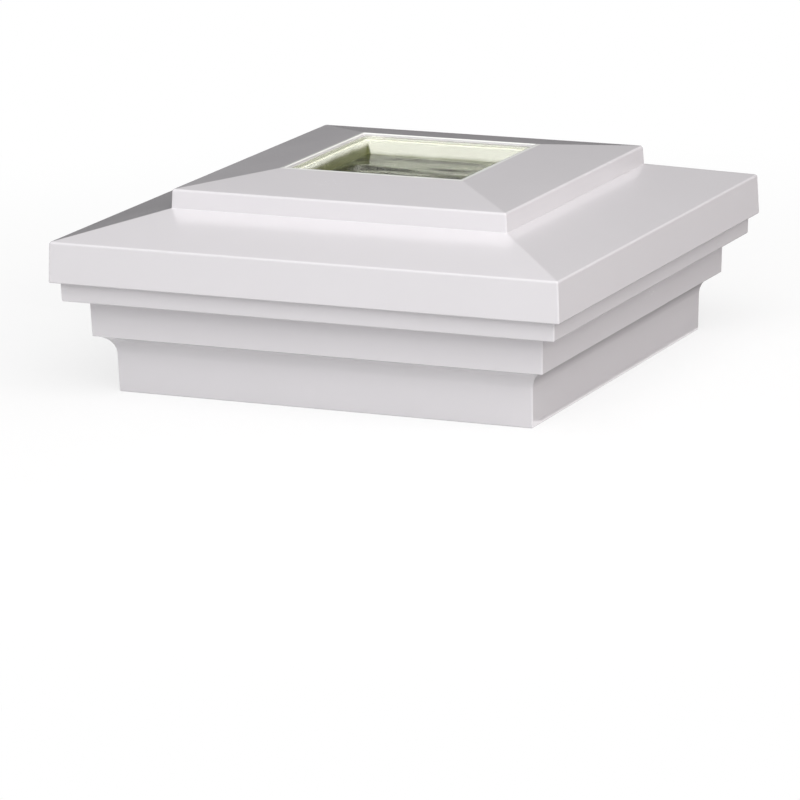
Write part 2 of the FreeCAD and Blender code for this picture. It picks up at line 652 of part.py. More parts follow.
def make_battery_box():
    """Tub over the chassis opening, open downwards, with four screw lugs."""
    west, east = box_west - BOX_WALL, box_east + BOX_WALL
    south, north = box_south - BOX_WALL, box_north + BOX_WALL
    tub = block(west, east, south, north, chassis_top, box_top)
    lug_top = chassis_top + SMALL_SCREW[1] - CHASSIS_PLATE + BOX_WALL
    lug_half = SMALL_SCREW[2] + BOX_SCREW_WALL
    lugs = []
    for x, y in box_screw_points():
        edge = south if y < BATTERY_Y else north
        y0, y1 = sorted((y, edge))
        lugs.append(rod(x, y, chassis_top, lug_top, lug_half))
        lugs.append(block(x - lug_half, x + lug_half, y0, y1, chassis_top, lug_top))
    tub = joined([tub] + lugs)
    tub = tub.cut(block(box_west, box_east, box_south, box_north, chassis_top - PAST, box_ceiling))
    for x, y in box_screw_points():
        tub = tub.cut(rod(x, y, chassis_top - PAST, lug_top - BOX_WALL + BOX_TIP_ROOM,
                          SMALL_SCREW[0] + THREAD_CLEARANCE))
    slit = TAB_WIDTH / 2 + SEAT_GAP
    for y in (south_cell_y, north_cell_y):
        tub = tub.cut(block(box_west - PAST, box_west + CONTACT_THICKNESS + SEAT_GAP, y - slit, y + slit,
                            box_ceiling - PAST, box_top + PAST))
    return tub


def make_cell(y, nub_east):
    """One AA cell along X, its nub against the flat contact."""
    can = CELL_LENGTH - NUB_LENGTH
    x = box_east - CONTACT_THICKNESS - CELL_LENGTH
    body = Part.makeCylinder(CELL_RADIUS, can, Vector(x, y, cell_z), Vector(1, 0, 0))
    rims = [e for e in body.Edges if e.Closed and isinstance(e.Curve, Part.Circle)]
    body = body.makeFillet(CELL_RIM, rims)
    nub = Part.makeCylinder(NUB_RADIUS, NUB_LENGTH + PAST, Vector(x + can - PAST, y, cell_z), Vector(1, 0, 0))
    cell = joined([body, nub])
    if not nub_east:
        cell.rotate(Vector(BATTERY_X, y, cell_z), Vector(0, 0, 1), 180)
    return cell


def contact_plate(y):
    """Flat contact on the west end wall."""
    return block(box_west, box_west + CONTACT_THICKNESS, y - CONTACT_WIDTH / 2, y + CONTACT_WIDTH / 2,
                 cell_z - CONTACT_WIDTH / 2, cell_z + CONTACT_WIDTH / 2)


def contact_leaf(y):
    """Bowed spring leaf on a flat contact, pressing on a cell's flat end."""
    plate = contact_plate(y)
    face_x = box_west + CONTACT_THICKNESS
    bow = LEAF_ROOM - 2 * CONTACT_THICKNESS - SEAT_GAP / 2
    half = CONTACT_WIDTH / 2
    outer = Part.Arc(Vector(face_x, y - half, cell_z - half), Vector(face_x + bow, y - half, cell_z),
                     Vector(face_x, y - half, cell_z + half))
    inner_half = half - 1.2 * CONTACT_THICKNESS
    inner = Part.Arc(Vector(face_x, y - half, cell_z - inner_half),
                     Vector(face_x + bow - CONTACT_THICKNESS, y - half, cell_z),
                     Vector(face_x, y - half, cell_z + inner_half))
    edges = [outer.toShape(), inner.toShape(),
             Part.LineSegment(outer.EndPoint, inner.EndPoint).toShape(),
             Part.LineSegment(inner.StartPoint, outer.StartPoint).toShape()]
    band = Part.Face(Part.Wire(Part.__sortEdges__(edges))).extrude(Vector(0, CONTACT_WIDTH, 0))
    return joined([plate, band])


def contact_tab(y):
    """Solder tab that stands up through the battery box's top."""
    return block(box_west, box_west + CONTACT_THICKNESS, y - TAB_WIDTH / 2, y + TAB_WIDTH / 2,
                 cell_z, box_top + TAB_HEIGHT)


def make_contact_negative():
    return joined([contact_leaf(south_cell_y), contact_tab(south_cell_y)])


def make_contact_positive():
    return joined([contact_plate(north_cell_y), contact_tab(north_cell_y)])


def make_contact_bridge():
    """Joins the two cells at the east end: a leaf, a plate and a strap between them."""
    strap = block(box_west, box_west + CONTACT_THICKNESS, south_cell_y, north_cell_y,
                  cell_z - STRAP_WIDTH / 2, cell_z + STRAP_WIDTH / 2)
    bridge = joined([contact_leaf(south_cell_y), contact_plate(north_cell_y), strap])
    bridge.rotate(Vector(BATTERY_X, BATTERY_Y, 0), Vector(0, 0, 1), 180)
    return bridge


def make_battery_cover():
    """Flat cover that slides east in the chassis rails, with finger grooves underneath."""
    west, east, south, north = cover_edges()
    cover = block(west, east, south, north, cover_bottom, shoulder_z - SEAT_GAP)
    for i in range(GRIP_GROOVES):
        start = Vector(west + GRIP_INSET + GRIP_PITCH * i, BATTERY_Y - GRIP_LENGTH / 2, cover_bottom)
        groove = Part.makeCylinder(GRIP_RADIUS, GRIP_LENGTH, start, Vector(0, 1, 0))
        cover = cover.cut(groove)
    return cover


# ---- control board and switch -----------------------------------------------------------------
def on_board(place):
    """Place on the control board, from its offset to the board's middle."""
    return BOARD_X + place[0], BOARD_Y + place[1]


def board_holes():
    reach_x = BOARD_LENGTH / 2 - BOARD_HOLE_INSET
    reach_y = BOARD_WIDTH / 2 - BOARD_HOLE_INSET
    return [(BOARD_X + sx * reach_x, BOARD_Y + sy * reach_y) for sx in (-1, 1) for sy in (-1, 1)]


def make_control_board():
    board = block(BOARD_X - BOARD_LENGTH / 2, BOARD_X + BOARD_LENGTH / 2,
                  BOARD_Y - BOARD_WIDTH / 2, BOARD_Y + BOARD_WIDTH / 2, board_bottom, board_top)
    for x, y in board_holes():
        board = board.cut(rod(x, y, board_bottom - PAST, board_top + PAST, TINY_SCREW[0] + HOLE_CLEARANCE))
    return board


def make_board_screws():
    return [screw(x, y, board_top, TINY_SCREW, up=False) for x, y in board_holes()]


def make_controller_chip():
    """Moulded chip with two rows of leads."""
    x, y = on_board(CHIP_PLACE)
    base = board_top + CHIP_STANDOFF
    chip = block(x - CHIP_WIDTH / 2, x + CHIP_WIDTH / 2, y - CHIP_LENGTH / 2, y + CHIP_LENGTH / 2,
                 base, base + CHIP_THICKNESS)
    first = y - LEAD_PITCH * (CHIP_LEADS - 1) / 2
    leads = [block(x - LEAD_SPAN / 2, x + LEAD_SPAN / 2, first + LEAD_PITCH * i - LEAD_WIDTH / 2,
                   first + LEAD_PITCH * i + LEAD_WIDTH / 2, board_top, board_top + LEAD_THICKNESS)
             for i in range(CHIP_LEADS)]
    return joined([chip] + leads)


def make_inductor():
    """Wound coil in its drum core."""
    x, y = on_board(COIL_PLACE)
    coil_bottom = board_top + COIL_PLATE
    coil_top = coil_bottom + COIL_HEIGHT
    plate = COIL_RADIUS + COIL_FLANGE
    return joined([rod(x, y, board_top, coil_bottom, plate), rod(x, y, coil_bottom, coil_top, COIL_RADIUS),
                   rod(x, y, coil_top, coil_top + COIL_PLATE, plate)])


def make_capacitors():
    """Two upright electrolytic capacitors."""
    cans = []
    for x, y in map(on_board, CAN_PLACES):
        can = rod(x, y, board_top, board_top + CAN_HEIGHT, CAN_RADIUS)
        crimp = Part.makeTorus(CAN_RADIUS, CAN_CRIMP, Vector(x, y, board_top + CAN_CRIMP_AT), Vector(0, 0, 1))
        cans.append(can.cut(crimp))
    return cans


def make_wire_sockets():
    """Plug-and-socket blocks on the board for the battery, panel, switch and lamps."""
    return [block(x - PLUG_SIZE / 2, x + PLUG_SIZE / 2, y - PLUG_SIZE / 2, y + PLUG_SIZE / 2,
                  board_top, socket_top) for x, y in map(on_board, PLUG_PLACES)]


def switch_screw_points():
    reach = SWITCH_FLANGE_LENGTH / 2 - TINY_SCREW[2] - SWITCH_SCREW_EDGE
    return [(SWITCH_X, SWITCH_Y + sign * reach) for sign in (-1, 1)]


def make_power_switch():
    """Slide-switch body on the chassis, hollow under its cap, with a flange for two screws."""
    flange = block(SWITCH_X - SWITCH_WIDTH / 2, SWITCH_X + SWITCH_WIDTH / 2,
                   SWITCH_Y - SWITCH_FLANGE_LENGTH / 2, SWITCH_Y + SWITCH_FLANGE_LENGTH / 2,
                   chassis_top, chassis_top + SWITCH_FLANGE)
    body = block(SWITCH_X - SWITCH_WIDTH / 2, SWITCH_X + SWITCH_WIDTH / 2,
                 SWITCH_Y - SWITCH_LENGTH / 2, SWITCH_Y + SWITCH_LENGTH / 2,
                 chassis_top, chassis_top + SWITCH_HEIGHT)
    lug_x = SWITCH_LUG_THICKNESS / 2
    lug_y = SWITCH_LUG_LENGTH / 2
    body_top = chassis_top + SWITCH_HEIGHT
    lugs = [block(SWITCH_X - lug_x, SWITCH_X + lug_x, SWITCH_Y + dy - lug_y, SWITCH_Y + dy + lug_y,
                  body_top, body_top + SWITCH_LUG) for dy in SWITCH_LUGS]
    switch = joined([flange, body] + lugs)
    cavity_x = KNOB_WIDTH / 2 + SLIDER_EDGE + SEAT_GAP
    cavity_y = (KNOB_LENGTH + SWITCH_TRAVEL) / 2 + SLIDER_EDGE + SEAT_GAP
    switch = switch.cut(block(SWITCH_X - cavity_x, SWITCH_X + cavity_x,
                              SWITCH_Y - cavity_y, SWITCH_Y + cavity_y,
                              chassis_top - PAST, slider_base_top + SEAT_GAP))
    for x, y in switch_screw_points():
        switch = switch.cut(rod(x, y, chassis_top - PAST, chassis_top + SWITCH_FLANGE + PAST,
                                TINY_SCREW[0] + THREAD_CLEARANCE))
    return switch


def make_switch_screws():
    return [screw(x, y, shoulder_z, TINY_SCREW) for x, y in switch_screw_points()]


def make_switch_slider():
    """Knob below the chassis on a base inside the switch body, at the off end of its travel."""
    y = SWITCH_Y - SWITCH_TRAVEL / 2
    base_x = KNOB_WIDTH / 2 + SLIDER_EDGE
    base_y = KNOB_LENGTH / 2 + SLIDER_EDGE
    knob_bottom = shoulder_z - KNOB_REACH
    base = block(SWITCH_X - base_x, SWITCH_X + base_x, y - base_y, y + base_y,
                 slider_base_bottom, slider_base_top)
    knob = block(SWITCH_X - KNOB_WIDTH / 2, SWITCH_X + KNOB_WIDTH / 2,
                 y - KNOB_LENGTH / 2, y + KNOB_LENGTH / 2, knob_bottom, slider_base_top)
    slider = joined([base, knob])
    for groove_y in (y - KNOB_RIDGE_PITCH, y, y + KNOB_RIDGE_PITCH):
        slider = slider.cut(block(SWITCH_X - KNOB_WIDTH, SWITCH_X + KNOB_WIDTH, groove_y - KNOB_GROOVE / 2,
                                  groove_y + KNOB_GROOVE / 2, knob_bottom - PAST, knob_bottom + KNOB_GROOVE))
    return slider


# ---- wires -----------------------------------------------------------------------------------------
def make_panel_wire(offset):
    """From the panel's underside, through the tray floor, down to its socket on the board."""
    x, y = on_board(PLUG_PLACES[1])
    level = tray_bottom - PANEL_WIRE_DROP
    return wire_tube([(offset, PANEL_WIRE_Y, panel_board_bottom), (offset, PANEL_WIRE_Y, level),
                      (x + offset, y, level), (x + offset, y, socket_top)], PANEL_WIRE_DROP - WIRE_RADIUS)


def make_battery_wire(cell_y, offset):
    """From a contact's tab over the battery box to the battery socket."""
    x, y = on_board(PLUG_PLACES[0])
    x += offset
    start_x = box_west + CONTACT_THICKNESS
    level = box_top + TAB_HEIGHT - WIRE_RADIUS
    high = socket_top + 2 * WIRE_BEND
    return wire_tube([(start_x, cell_y, level), (start_x + 2 * WIRE_BEND, cell_y, level),
                      (x, y - 3 * WIRE_BEND, high), (x, y, high), (x, y, socket_top)], WIRE_BEND)


def make_switch_wires():
    """From two of the switch's lugs to the switch socket."""
    wires = []
    x, y = on_board(PLUG_PLACES[2])
    lug_top = chassis_top + SWITCH_HEIGHT + SWITCH_LUG
    level = socket_top + 2 * WIRE_BEND
    for dy in SWITCH_LUGS[:2]:
        offset = WIRE_PITCH / 2 if dy else -WIRE_PITCH / 2
        wires.append(wire_tube([(SWITCH_X, SWITCH_Y + dy, lug_top), (SWITCH_X, SWITCH_Y + dy, level),
                                (x, y - offset, level), (x, y - offset, socket_top)], WIRE_BEND))
    return wires


def make_led_wires(black):
    """One wire to each side's lamp board: up through the chassis, across, and into the lamp socket."""
    offset = WIRE_PITCH / 2 if black else -WIRE_PITCH / 2
    starts = [(offset, -lamp_middle), (lamp_middle, offset), (-offset, lamp_middle), (-lamp_middle, -offset)]
    plug_x, plug_y = on_board(PLUG_PLACES[3])
    wires = []
    for turn, (x, y) in enumerate(starts):
        upper = black != (turn == 2)       # from the back, the red wire reaches over the black one
        level = socket_top + 2 * WIRE_BEND + LED_WIRE_LAYER * (2 * turn + upper)
        end_x = plug_x + (turn - 1.5) * LED_WIRE_SPACING
        end_y = plug_y + (LED_WIRE_GAP / 2 if black else -LED_WIRE_GAP / 2)
        wires.append(wire_tube([(x, y, shoulder_z), (x, y, level), (end_x, end_y, level),
                                (end_x, end_y, socket_top)], WIRE_BEND))
    return wires


# ---- write every node --------------------------------------------------------------------------------
def write(name, shapes):
    """One STEP file; several shapes stay separate solids in it."""
    shape = shapes if not isinstance(shapes, list) else Part.makeCompound(shapes)
    for solid in shape.Solids:
        if not solid.isValid() or solid.Volume <= 0:
            print("bad solid in", name)
    print("%-22s %3d solids %10.1f mm3" % (name, len(shape.Solids), shape.Volume))
    shape.exportStep("parts/%s.step" % name)


def main():
    os.makedirs("parts", exist_ok=True)
    write("roof_shell", make_roof_shell())
    write("collar", make_collar())
    write("window_glass", make_window_glass())
    write("window_gasket", make_window_gasket())
    write("solar_tray", make_solar_tray())
    write("tray_screws", make_tray_screws())
    write("solar_board", make_solar_board())
    write("solar_cells", make_solar_cells())
    write("cell_ribbons", make_cell_ribbons())
    write("panel_resin", make_panel_resin())
    write("chassis", make_chassis())
    write("post_guides", make_post_guides())
    write("post_pads", make_post_pads())
    write("corner_screws", make_corner_screws())
    for turns, side in enumerate(SIDES):
        write("led_board_" + side, on_side(make_led_board(), turns))
        write("leds_" + side, [on_side(led, turns) for led in make_leds()])
        write("diffuser_" + side, on_side(make_diffuser(), turns))
    write("battery_box", make_battery_box())
    write("battery_box_screws", [screw(x, y, shoulder_z, SMALL_SCREW) for x, y in box_screw_points()])
    write("battery_cell_south", make_cell(south_cell_y, True))
    write("battery_cell_north", make_cell(north_cell_y, False))
    write("contact_negative", make_contact_negative())
    write("contact_positive", make_contact_positive())
    write("contact_bridge", make_contact_bridge())
    write("battery_cover", make_battery_cover())
    write("control_board", make_control_board())
    write("board_screws", make_board_screws())
    write("controller_chip", make_controller_chip())
    write("inductor", make_inductor())
    write("capacitors", make_capacitors())
    write("wire_sockets", make_wire_sockets())
    write("power_switch", make_power_switch())
    write("switch_screws", make_switch_screws())
    write("switch_slider", make_switch_slider())
    write("panel_wire_red", make_panel_wire(-WIRE_PITCH / 2))
    write("panel_wire_black", make_panel_wire(WIRE_PITCH / 2))
    write("battery_wire_red", make_battery_wire(north_cell_y, -WIRE_PITCH / 2))
    write("battery_wire_black", make_battery_wire(south_cell_y, WIRE_PITCH / 2))
    write("switch_wires", make_switch_wires())
    write("led_wires_red", make_led_wires(False))
    write("led_wires_black", make_led_wires(True))
    print("cap %.1f x %.1f x %.1f mm" % (2 * fascia_bottom, 2 * fascia_bottom, roof_z))


main()
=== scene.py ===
"""Looks of a deck post cap light: moulded roof and collar, solar window, lamps, and a plain studio."""

import math

import bpy
import numpy as np
from mathutils import Matrix, Vector


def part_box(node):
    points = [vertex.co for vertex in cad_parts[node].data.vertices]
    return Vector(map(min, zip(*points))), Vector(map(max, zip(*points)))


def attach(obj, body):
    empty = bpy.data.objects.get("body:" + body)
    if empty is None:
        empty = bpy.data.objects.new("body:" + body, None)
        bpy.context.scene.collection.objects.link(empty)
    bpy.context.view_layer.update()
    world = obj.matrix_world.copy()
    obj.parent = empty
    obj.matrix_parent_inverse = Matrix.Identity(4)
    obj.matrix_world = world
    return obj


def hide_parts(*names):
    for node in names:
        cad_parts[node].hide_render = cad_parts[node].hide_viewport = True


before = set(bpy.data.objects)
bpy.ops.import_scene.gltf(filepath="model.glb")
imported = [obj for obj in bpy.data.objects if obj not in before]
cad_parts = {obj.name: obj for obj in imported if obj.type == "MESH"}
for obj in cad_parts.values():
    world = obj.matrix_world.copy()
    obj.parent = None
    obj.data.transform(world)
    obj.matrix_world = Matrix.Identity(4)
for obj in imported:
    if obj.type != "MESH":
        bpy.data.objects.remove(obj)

bl_info = {
    "name": "Deck post cap light",
    "version": (1, 0, 0),
    "blender": (4, 5, 0),
    "location": "View3D > Sidebar > Post cap",
    "description": "Dresses the post cap light: white moulded shells, solar window, lamps and studio",
    "category": "Object",
}

MM = 0.001
HOUSING = "housing"
BLACK, WHITE = (0, 0, 0, 1), (1, 1, 1, 1)
CORNERS = [(-1, -1), (-1, 1), (1, -1), (1, 1)]
# Painted highlight: paler colour along the window opening's rounded edge, in place of the light it catches
PAINTED_HIGHLIGHT_COLOUR = (0.97, 0.97, 0.95, 1)             # roof's edge round the window, as linear light
# Painted shade: darker greenish colour painted on the glass's border, in place of the shaded gap round the
# pane
GLASS_PAINTED_SHADE_COLOUR = (0.66, 0.69, 0.58, 1)      # border of the window glass
GRID_LINE_COLOUR = (0.12, 0.13, 0.11, 1)       # fine lines on the solar cells
FILL_TINT = (1.0, 0.93, 0.9)                   # light of the fill lamp
# Waves in the casting: part of the swell, radians per metre along X and along Y, and phase
CASTING_WAVES = [(0.9, 40, 230, 0.4), (0.8, -70, 390, 1.9), (0.5, 110, 610, 3.1), (0.2, 190, 860, 0.8),
                 (0.1, -290, 980, 2.2)]
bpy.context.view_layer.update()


# ---------------------------------------------------------------------------------------------------
# Sizes and colours that a user would change
# Where they are used, c, r and w are the sizes of the collar, the roof and the window, f the finishes
# and s the studio
# ---------------------------------------------------------------------------------------------------
def length(name, millimetres, description):
    """A length property, given in millimetres and kept in metres."""
    return bpy.props.FloatProperty(name=name, description=description, default=millimetres * MM,
                                   unit="LENGTH", subtype="DISTANCE", precision=5)


def colour(name, rgb, description):
    """A colour property from 0-255 sRGB values, as they look on screen, kept as linear light."""
    linear = [((c / 255 + 0.055) / 1.055) ** 2.4 if c > 10 else c / 255 / 12.92 for c in rgb]
    return bpy.props.FloatVectorProperty(name=name, description=description, default=linear,
                                         subtype="COLOR", size=3, min=0, max=1)


def share(name, value, description):
    """A plain number from 0 to 1."""
    return bpy.props.FloatProperty(name=name, description=description, default=value, min=0, max=1,
                                   subtype="FACTOR")


def number(name, value, description):
    """A plain number without a unit."""
    return bpy.props.FloatProperty(name=name, description=description, default=value)


class CollarSizes(bpy.types.PropertyGroup):
    """Section of the collar, from the skirt's rim up."""
    wall: length("Wall", 2.46, "Wall of the moulding")
    skirt_inner: length("Skirt inside", 74.5, "Half width of the skirt's inside")
    skirt_draft: length("Skirt draft", 0.44, "How much wider each side is at the skirt's top")
    skirt_height: length("Skirt height", 13.4, "Straight part of the skirt, below the cove")
    cove_radius: length("Cove radius", 7.0, "Radius of the hollow moulding above the skirt")
    cove_reach: length("Cove reach", 6.06, "How far the cove carries the outline out")
    cove_slope: number("Cove slope", 0.204, "Rise per length of the cove's last stretch")
    lower_height: length("Lower strip", 13.22, "Height of the lower strip")
    lower_draft: length("Lower strip draft", 0.39, "How much wider each side is at its top")
    step: length("Step", 6.97, "Ledge between the strips")
    upper_height: length("Upper strip", 6.83, "Height of the upper strip")
    upper_draft: length("Upper strip draft", 0.23, "How much wider each side is at its top")
    arris: length("Arris", 0.4, "Rounding of the outer edges")
    shoulder: length("Shoulder", 2.65, "Material between the cove and the inner ledge")
    lug_half: length("Lug", 5.2, "Half width of the screw lugs in the corners")
    lug_at: length("Lug place", 69.5, "Distance of the lug screws from the middle, along X and Y")


class RoofSizes(bpy.types.PropertyGroup):
    """Section of the roof, from the fascia's lower edge up."""
    fascia_gap: length("Fascia gap", 0.3, "Room between the collar and the fascia")
    fascia_wall: length("Fascia wall", 2.65, "Thickness of the fascia")
    fascia_height: length("Fascia height", 14.1, "Height of the upright edge")
    fascia_draft: length("Fascia draft", 0.5, "How far the fascia leans in at its top")
    fascia_arris: length("Fascia arris", 0.9, "Rounding along the fascia's top")
    tier_half: length("Tier", 62.4, "Half width of the raised tier")
    tier_height: length("Tier height", 6.578, "Upright band of the tier")
    tier_draft: length("Tier draft", 0.34, "How far the band leans in at its top")
    fillet: length("Fillet", 0.3, "Rounding along the band's foot")
    eave_slope: number("Eave slope", 0.251, "Rise per length of the lower roof")
    crown_slope: number("Crown slope", 0.1425, "Rise per length of the upper roof")
    wall: length("Wall", 3.0, "Thickness of the roof")
    window_half: length("Window", 33.0, "Half width of the window opening")
    ring_wall: length("Window wall", 3.2, "Wall round the window opening")
    ring_depth: length("Window wall depth", 7.0, "How far that wall hangs below the roof's edge")
    boss: length("Corner boss", 4.5, "Radius of the bosses that the corner screws hold in")
    small_boss: length("Tray boss", 3.6, "Radius of the bosses that the tray's screws hold in")
    small_boss_at: length("Tray boss place", 38.5, "Distance of the tray's screws, along X and Y")
    arris: length("Arris", 0.4, "Rounding of the lower and window edges")
    mitre: length("Mitre", 0.55, "Rounding along the hips and upright corners")


class WindowSizes(bpy.types.PropertyGroup):
    """Bead of the window, the paler and darker borders painted round its edge as highlight and shade, and
    the casting over its cells.
    """
    bead_width: length("Bead width", 1.4, "Width of the bead under the glass's edge")
    bead_outer: length("Bead outside", 0.2, "Rounding of the bead's outer edges")
    bead_inner: length("Bead inside", 0.28, "Rounding of the bead's inner edges")
    # Painted shade: the glass's darker border below is painted colour, in place of the shaded gap round the
    # pane
    painted_edge_shade: length("Glass border", 0.9, "Width of the darker border of the glass")
    painted_edge_shade_fade: length("Border fade", 0.6, "Width over which that border darkens")
    # Painted highlight: the paler lip below is colour painted along the opening's edge, in place of the
    # light it catches
    painted_highlight: length("Lip", 1.7, "Width of the paler lip round the opening")
    painted_highlight_fade: length("Lip fade", 0.4, "Width over which the lip fades out")
    painted_highlight_depth: length("Lip depth", 0.5, "How far below the roof's edge the lip reaches")
    painted_highlight_depth_fade: length("Lip depth fade", 0.1, "Height over which it fades out there")
    casting_sink: length("Casting sink", 0.26, "Casting's mean level below the top of its CAD solid")
    casting_swell: length("Casting swell", 0.1, "Height of the casting's waves")
    casting_margin: length("Casting margin", 3, "Width of the border in which the waves die out")


class Finishes(bpy.types.PropertyGroup):
    """Colours and gloss of the finishes."""
    white: colour("White plastic", (229, 226, 229), "Colour of the moulded shells")
    white_roughness: share("White roughness", 0.25, "Gloss of the moulded shells")
    skin: share("Skin", 0.8, "Strength of the glossy skin on the moulded shells")
    well: colour("Well", (255, 253, 243), "Colour of the window's inside walls")
    # Painted glow: emission given to the well's walls to brighten them as if lit
    well_painted_glow: number("Well glow", 0.8, "Light that the well's thin walls let through")
    # Painted reflection: colour of the darker band down at the panel, in place of the dark cells that the
    # glossy walls mirror
    stain_and_reflection: colour("Stain", (150, 152, 108), "Colour of the window's inside walls down at the panel")
    bead: colour("Bead", (252, 252, 236), "Colour of the bead under the glass")
    glass: colour("Glass", (252, 253, 251), "Tint of the window glass")
    resin: colour("Resin", (226, 231, 206), "Tint of the cast resin over the cells")
    silicon: colour("Cells", (46, 56, 44), "Colour of the solar cells")
    chassis: colour("Chassis", (214, 214, 212), "Colour of the parts under the roof")
    lamp: colour("Lamp light", (244, 248, 255), "Colour of the lamps' light")
    lamp_strength: number("Lamp strength", 1.6, "How bright the opal strips glow")


class Studio(bpy.types.PropertyGroup):
    """Camera and light."""
    azimuth: bpy.props.FloatProperty(name="Azimuth", description="Camera to the right of the front",
                                     default=math.radians(24.44), subtype="ANGLE")
    elevation: bpy.props.FloatProperty(name="Elevation", description="Camera above the horizon",
                                       default=math.radians(13.87), subtype="ANGLE")
    roll: bpy.props.FloatProperty(name="Roll", description="Camera's turn about its axis",
                                  default=math.radians(-1.10), subtype="ANGLE")
    distance: length("Distance", 1774.7, "Camera to the fascia's lower edge, along the view")
    right: length("Right", 4.51, "How far the cap sits right of the view's middle")
    up: length("Up", 53.4, "How far the cap sits above the view's middle")
    lens: bpy.props.FloatProperty(name="Lens", description="Focal length in millimetres",
                                  default=228.7, min=1)
    floor: colour("Floor", (250, 250, 250), "Colour of the floor")
    bounce: share("Bounce", 0.57, "How much of its light the floor gives back to the cap")
    whiteness: share("Whiteness", 0.72, "How far the floor near the cap is lifted to plain white")
    spread: length("Spread", 420, "Distance from the cap at which the floor is plain white")
    ambient: number("Ambient", 0.405, "Light from all round; 1 shows white as white")
    key: number("Key", 1.035, "Light of the key lamp, on the same scale")
    fill: number("Fill", 0.26, "Light of the fill lamp on the right, on the same scale")


# ---------------------------------------------------------------------------------------------------
# Surfaces
# ---------------------------------------------------------------------------------------------------
def rounded_outline(points, steps=7):
    """Closed outline through (half width, height, radius) points, each corner a tangent arc.

    An arc's centre lies on the corner's bisector at radius / sin(half the corner's angle), and its
    points are the centre plus the radius turned evenly from one side's normal to the other's.
    Returns the points and, for each stretch to the next point, the outward normals at its two ends.
    """
    corners = np.array([p[:2] for p in points], float)
    along = np.roll(corners, -1, 0) - corners
    along /= np.linalg.norm(along, axis=1)[:, None]
    normals = np.stack([along[:, 1], -along[:, 0]], 1)
    places, arriving, leaving = [], [], []
    for i, (_, _, radius) in enumerate(points):
        before, after = normals[i - 1], normals[i]
        if radius <= 0:
            places.append(corners[i])
            arriving.append(before)
            leaving.append(after)
            continue
        turn = math.atan2(before[0] * after[1] - before[1] * after[0], before @ after)
        side = 1 if turn > 0 else -1
        centre = corners[i] - side * radius * (before + after) / (1 + before @ after)
        angles = math.atan2(before[1], before[0]) + turn * np.linspace(0, 1, steps)
        spokes = np.stack([np.cos(angles), np.sin(angles)], 1)
        places.extend(centre + side * radius * spokes)
        arriving.extend(spokes)
        leaving.extend(spokes)
    places, arriving, leaving = np.array(places), np.array(arriving), np.array(leaving)
    return places, leaving, np.roll(arriving, -1, 0)


def square_sweep(outline, mitre, steps=5):
    """Carries a closed outline round a square with rounded corners.

    A point of the outline at half width h becomes the ring (sx (h - r) + r cos a, sy (h - r) + r sin a)
    with r the corner radius, sx and sy the quadrant's signs and a running through its right angle.
    The normal there is (n cos a, n sin a, m (sx cos a + sy sin a)) for an outline normal (n, m).
    """
    places, starts, ends = outline
    quadrant = np.repeat(np.arange(4), steps + 1)
    angle = (quadrant + np.tile(np.linspace(0, 1, steps + 1), 4)) * math.pi / 2
    sx = np.array([1, -1, -1, 1])[quadrant]
    sy = np.array([1, 1, -1, -1])[quadrant]
    cos, sin = np.cos(angle), np.sin(angle)
    half = places[:, :1] - mitre
    grid = np.stack([sx * half + mitre * cos, sy * half + mitre * sin,
                     np.repeat(places[:, 1:], len(angle), 1)], 2)

    def spread(normals):
        out = np.stack([normals[:, :1] * cos, normals[:, :1] * sin,
                        normals[:, 1:] * (sx * cos + sy * sin)], 2)
        return out / np.linalg.norm(out, axis=2)[:, :, None]
    return closed_grid(grid, spread(starts), spread(ends))


def closed_grid(grid, starts, ends):
    """Quads of a grid that closes on itself both ways, with the normals at each quad's corners."""
    rows, columns, _ = grid.shape
    i, j = np.meshgrid(np.arange(rows), np.arange(columns), indexing="ij")
    up, on = (i + 1) % rows, (j + 1) % columns
    quads = np.stack([i * columns + j, i * columns + on, up * columns + on, up * columns + j], 2)
    normals = np.stack([starts[i, j], starts[i, on], ends[i, on], ends[i, j]], 2)
    return grid.reshape(-1, 3), quads.reshape(-1, 4), normals.reshape(-1, 4, 3)


def upright_bar(x, y, low, high, radius, sides=24):
    """Round bar on (x, y): rings at the radius, joined by its wall, and tiny rings inside its two ends.

    A ring's points are (x + r cos a, y + r sin a) for angles a spaced evenly; the tiny rings, with r a
    fiftieth of the radius, are joined to each other through the bar, which closes the grid.
    """
    angle = np.arange(sides) * 2 * math.pi / sides
    out = np.stack([np.cos(angle), np.sin(angle), np.zeros(sides)], 1)
    radii = radius * np.array([0.02, 1, 1, 0.02])
    grid = radii[:, None, None] * out + (x, y, 0)
    grid[:, :, 2] = np.array([low, low, high, high])[:, None]
    up = np.zeros_like(out) + (0, 0, 1)
    normals = np.array([-up, out, up, -up])
    return closed_grid(grid, normals, normals)


def solid_block(low, high):
    """Six-sided block between two corners."""
    corners = np.array([[(low, high)[i >> k & 1][k] for k in range(3)] for i in range(8)], float)
    quads = np.array([(0, 2, 3, 1), (4, 5, 7, 6), (0, 1, 5, 4), (2, 6, 7, 3), (0, 4, 6, 2), (1, 3, 7, 5)])
    normals = np.array([(0, 0, -1), (0, 0, 1), (0, -1, 0), (0, 1, 0), (-1, 0, 0), (1, 0, 0)], float)
    return corners, quads, np.repeat(normals[:, None], 4, 1)


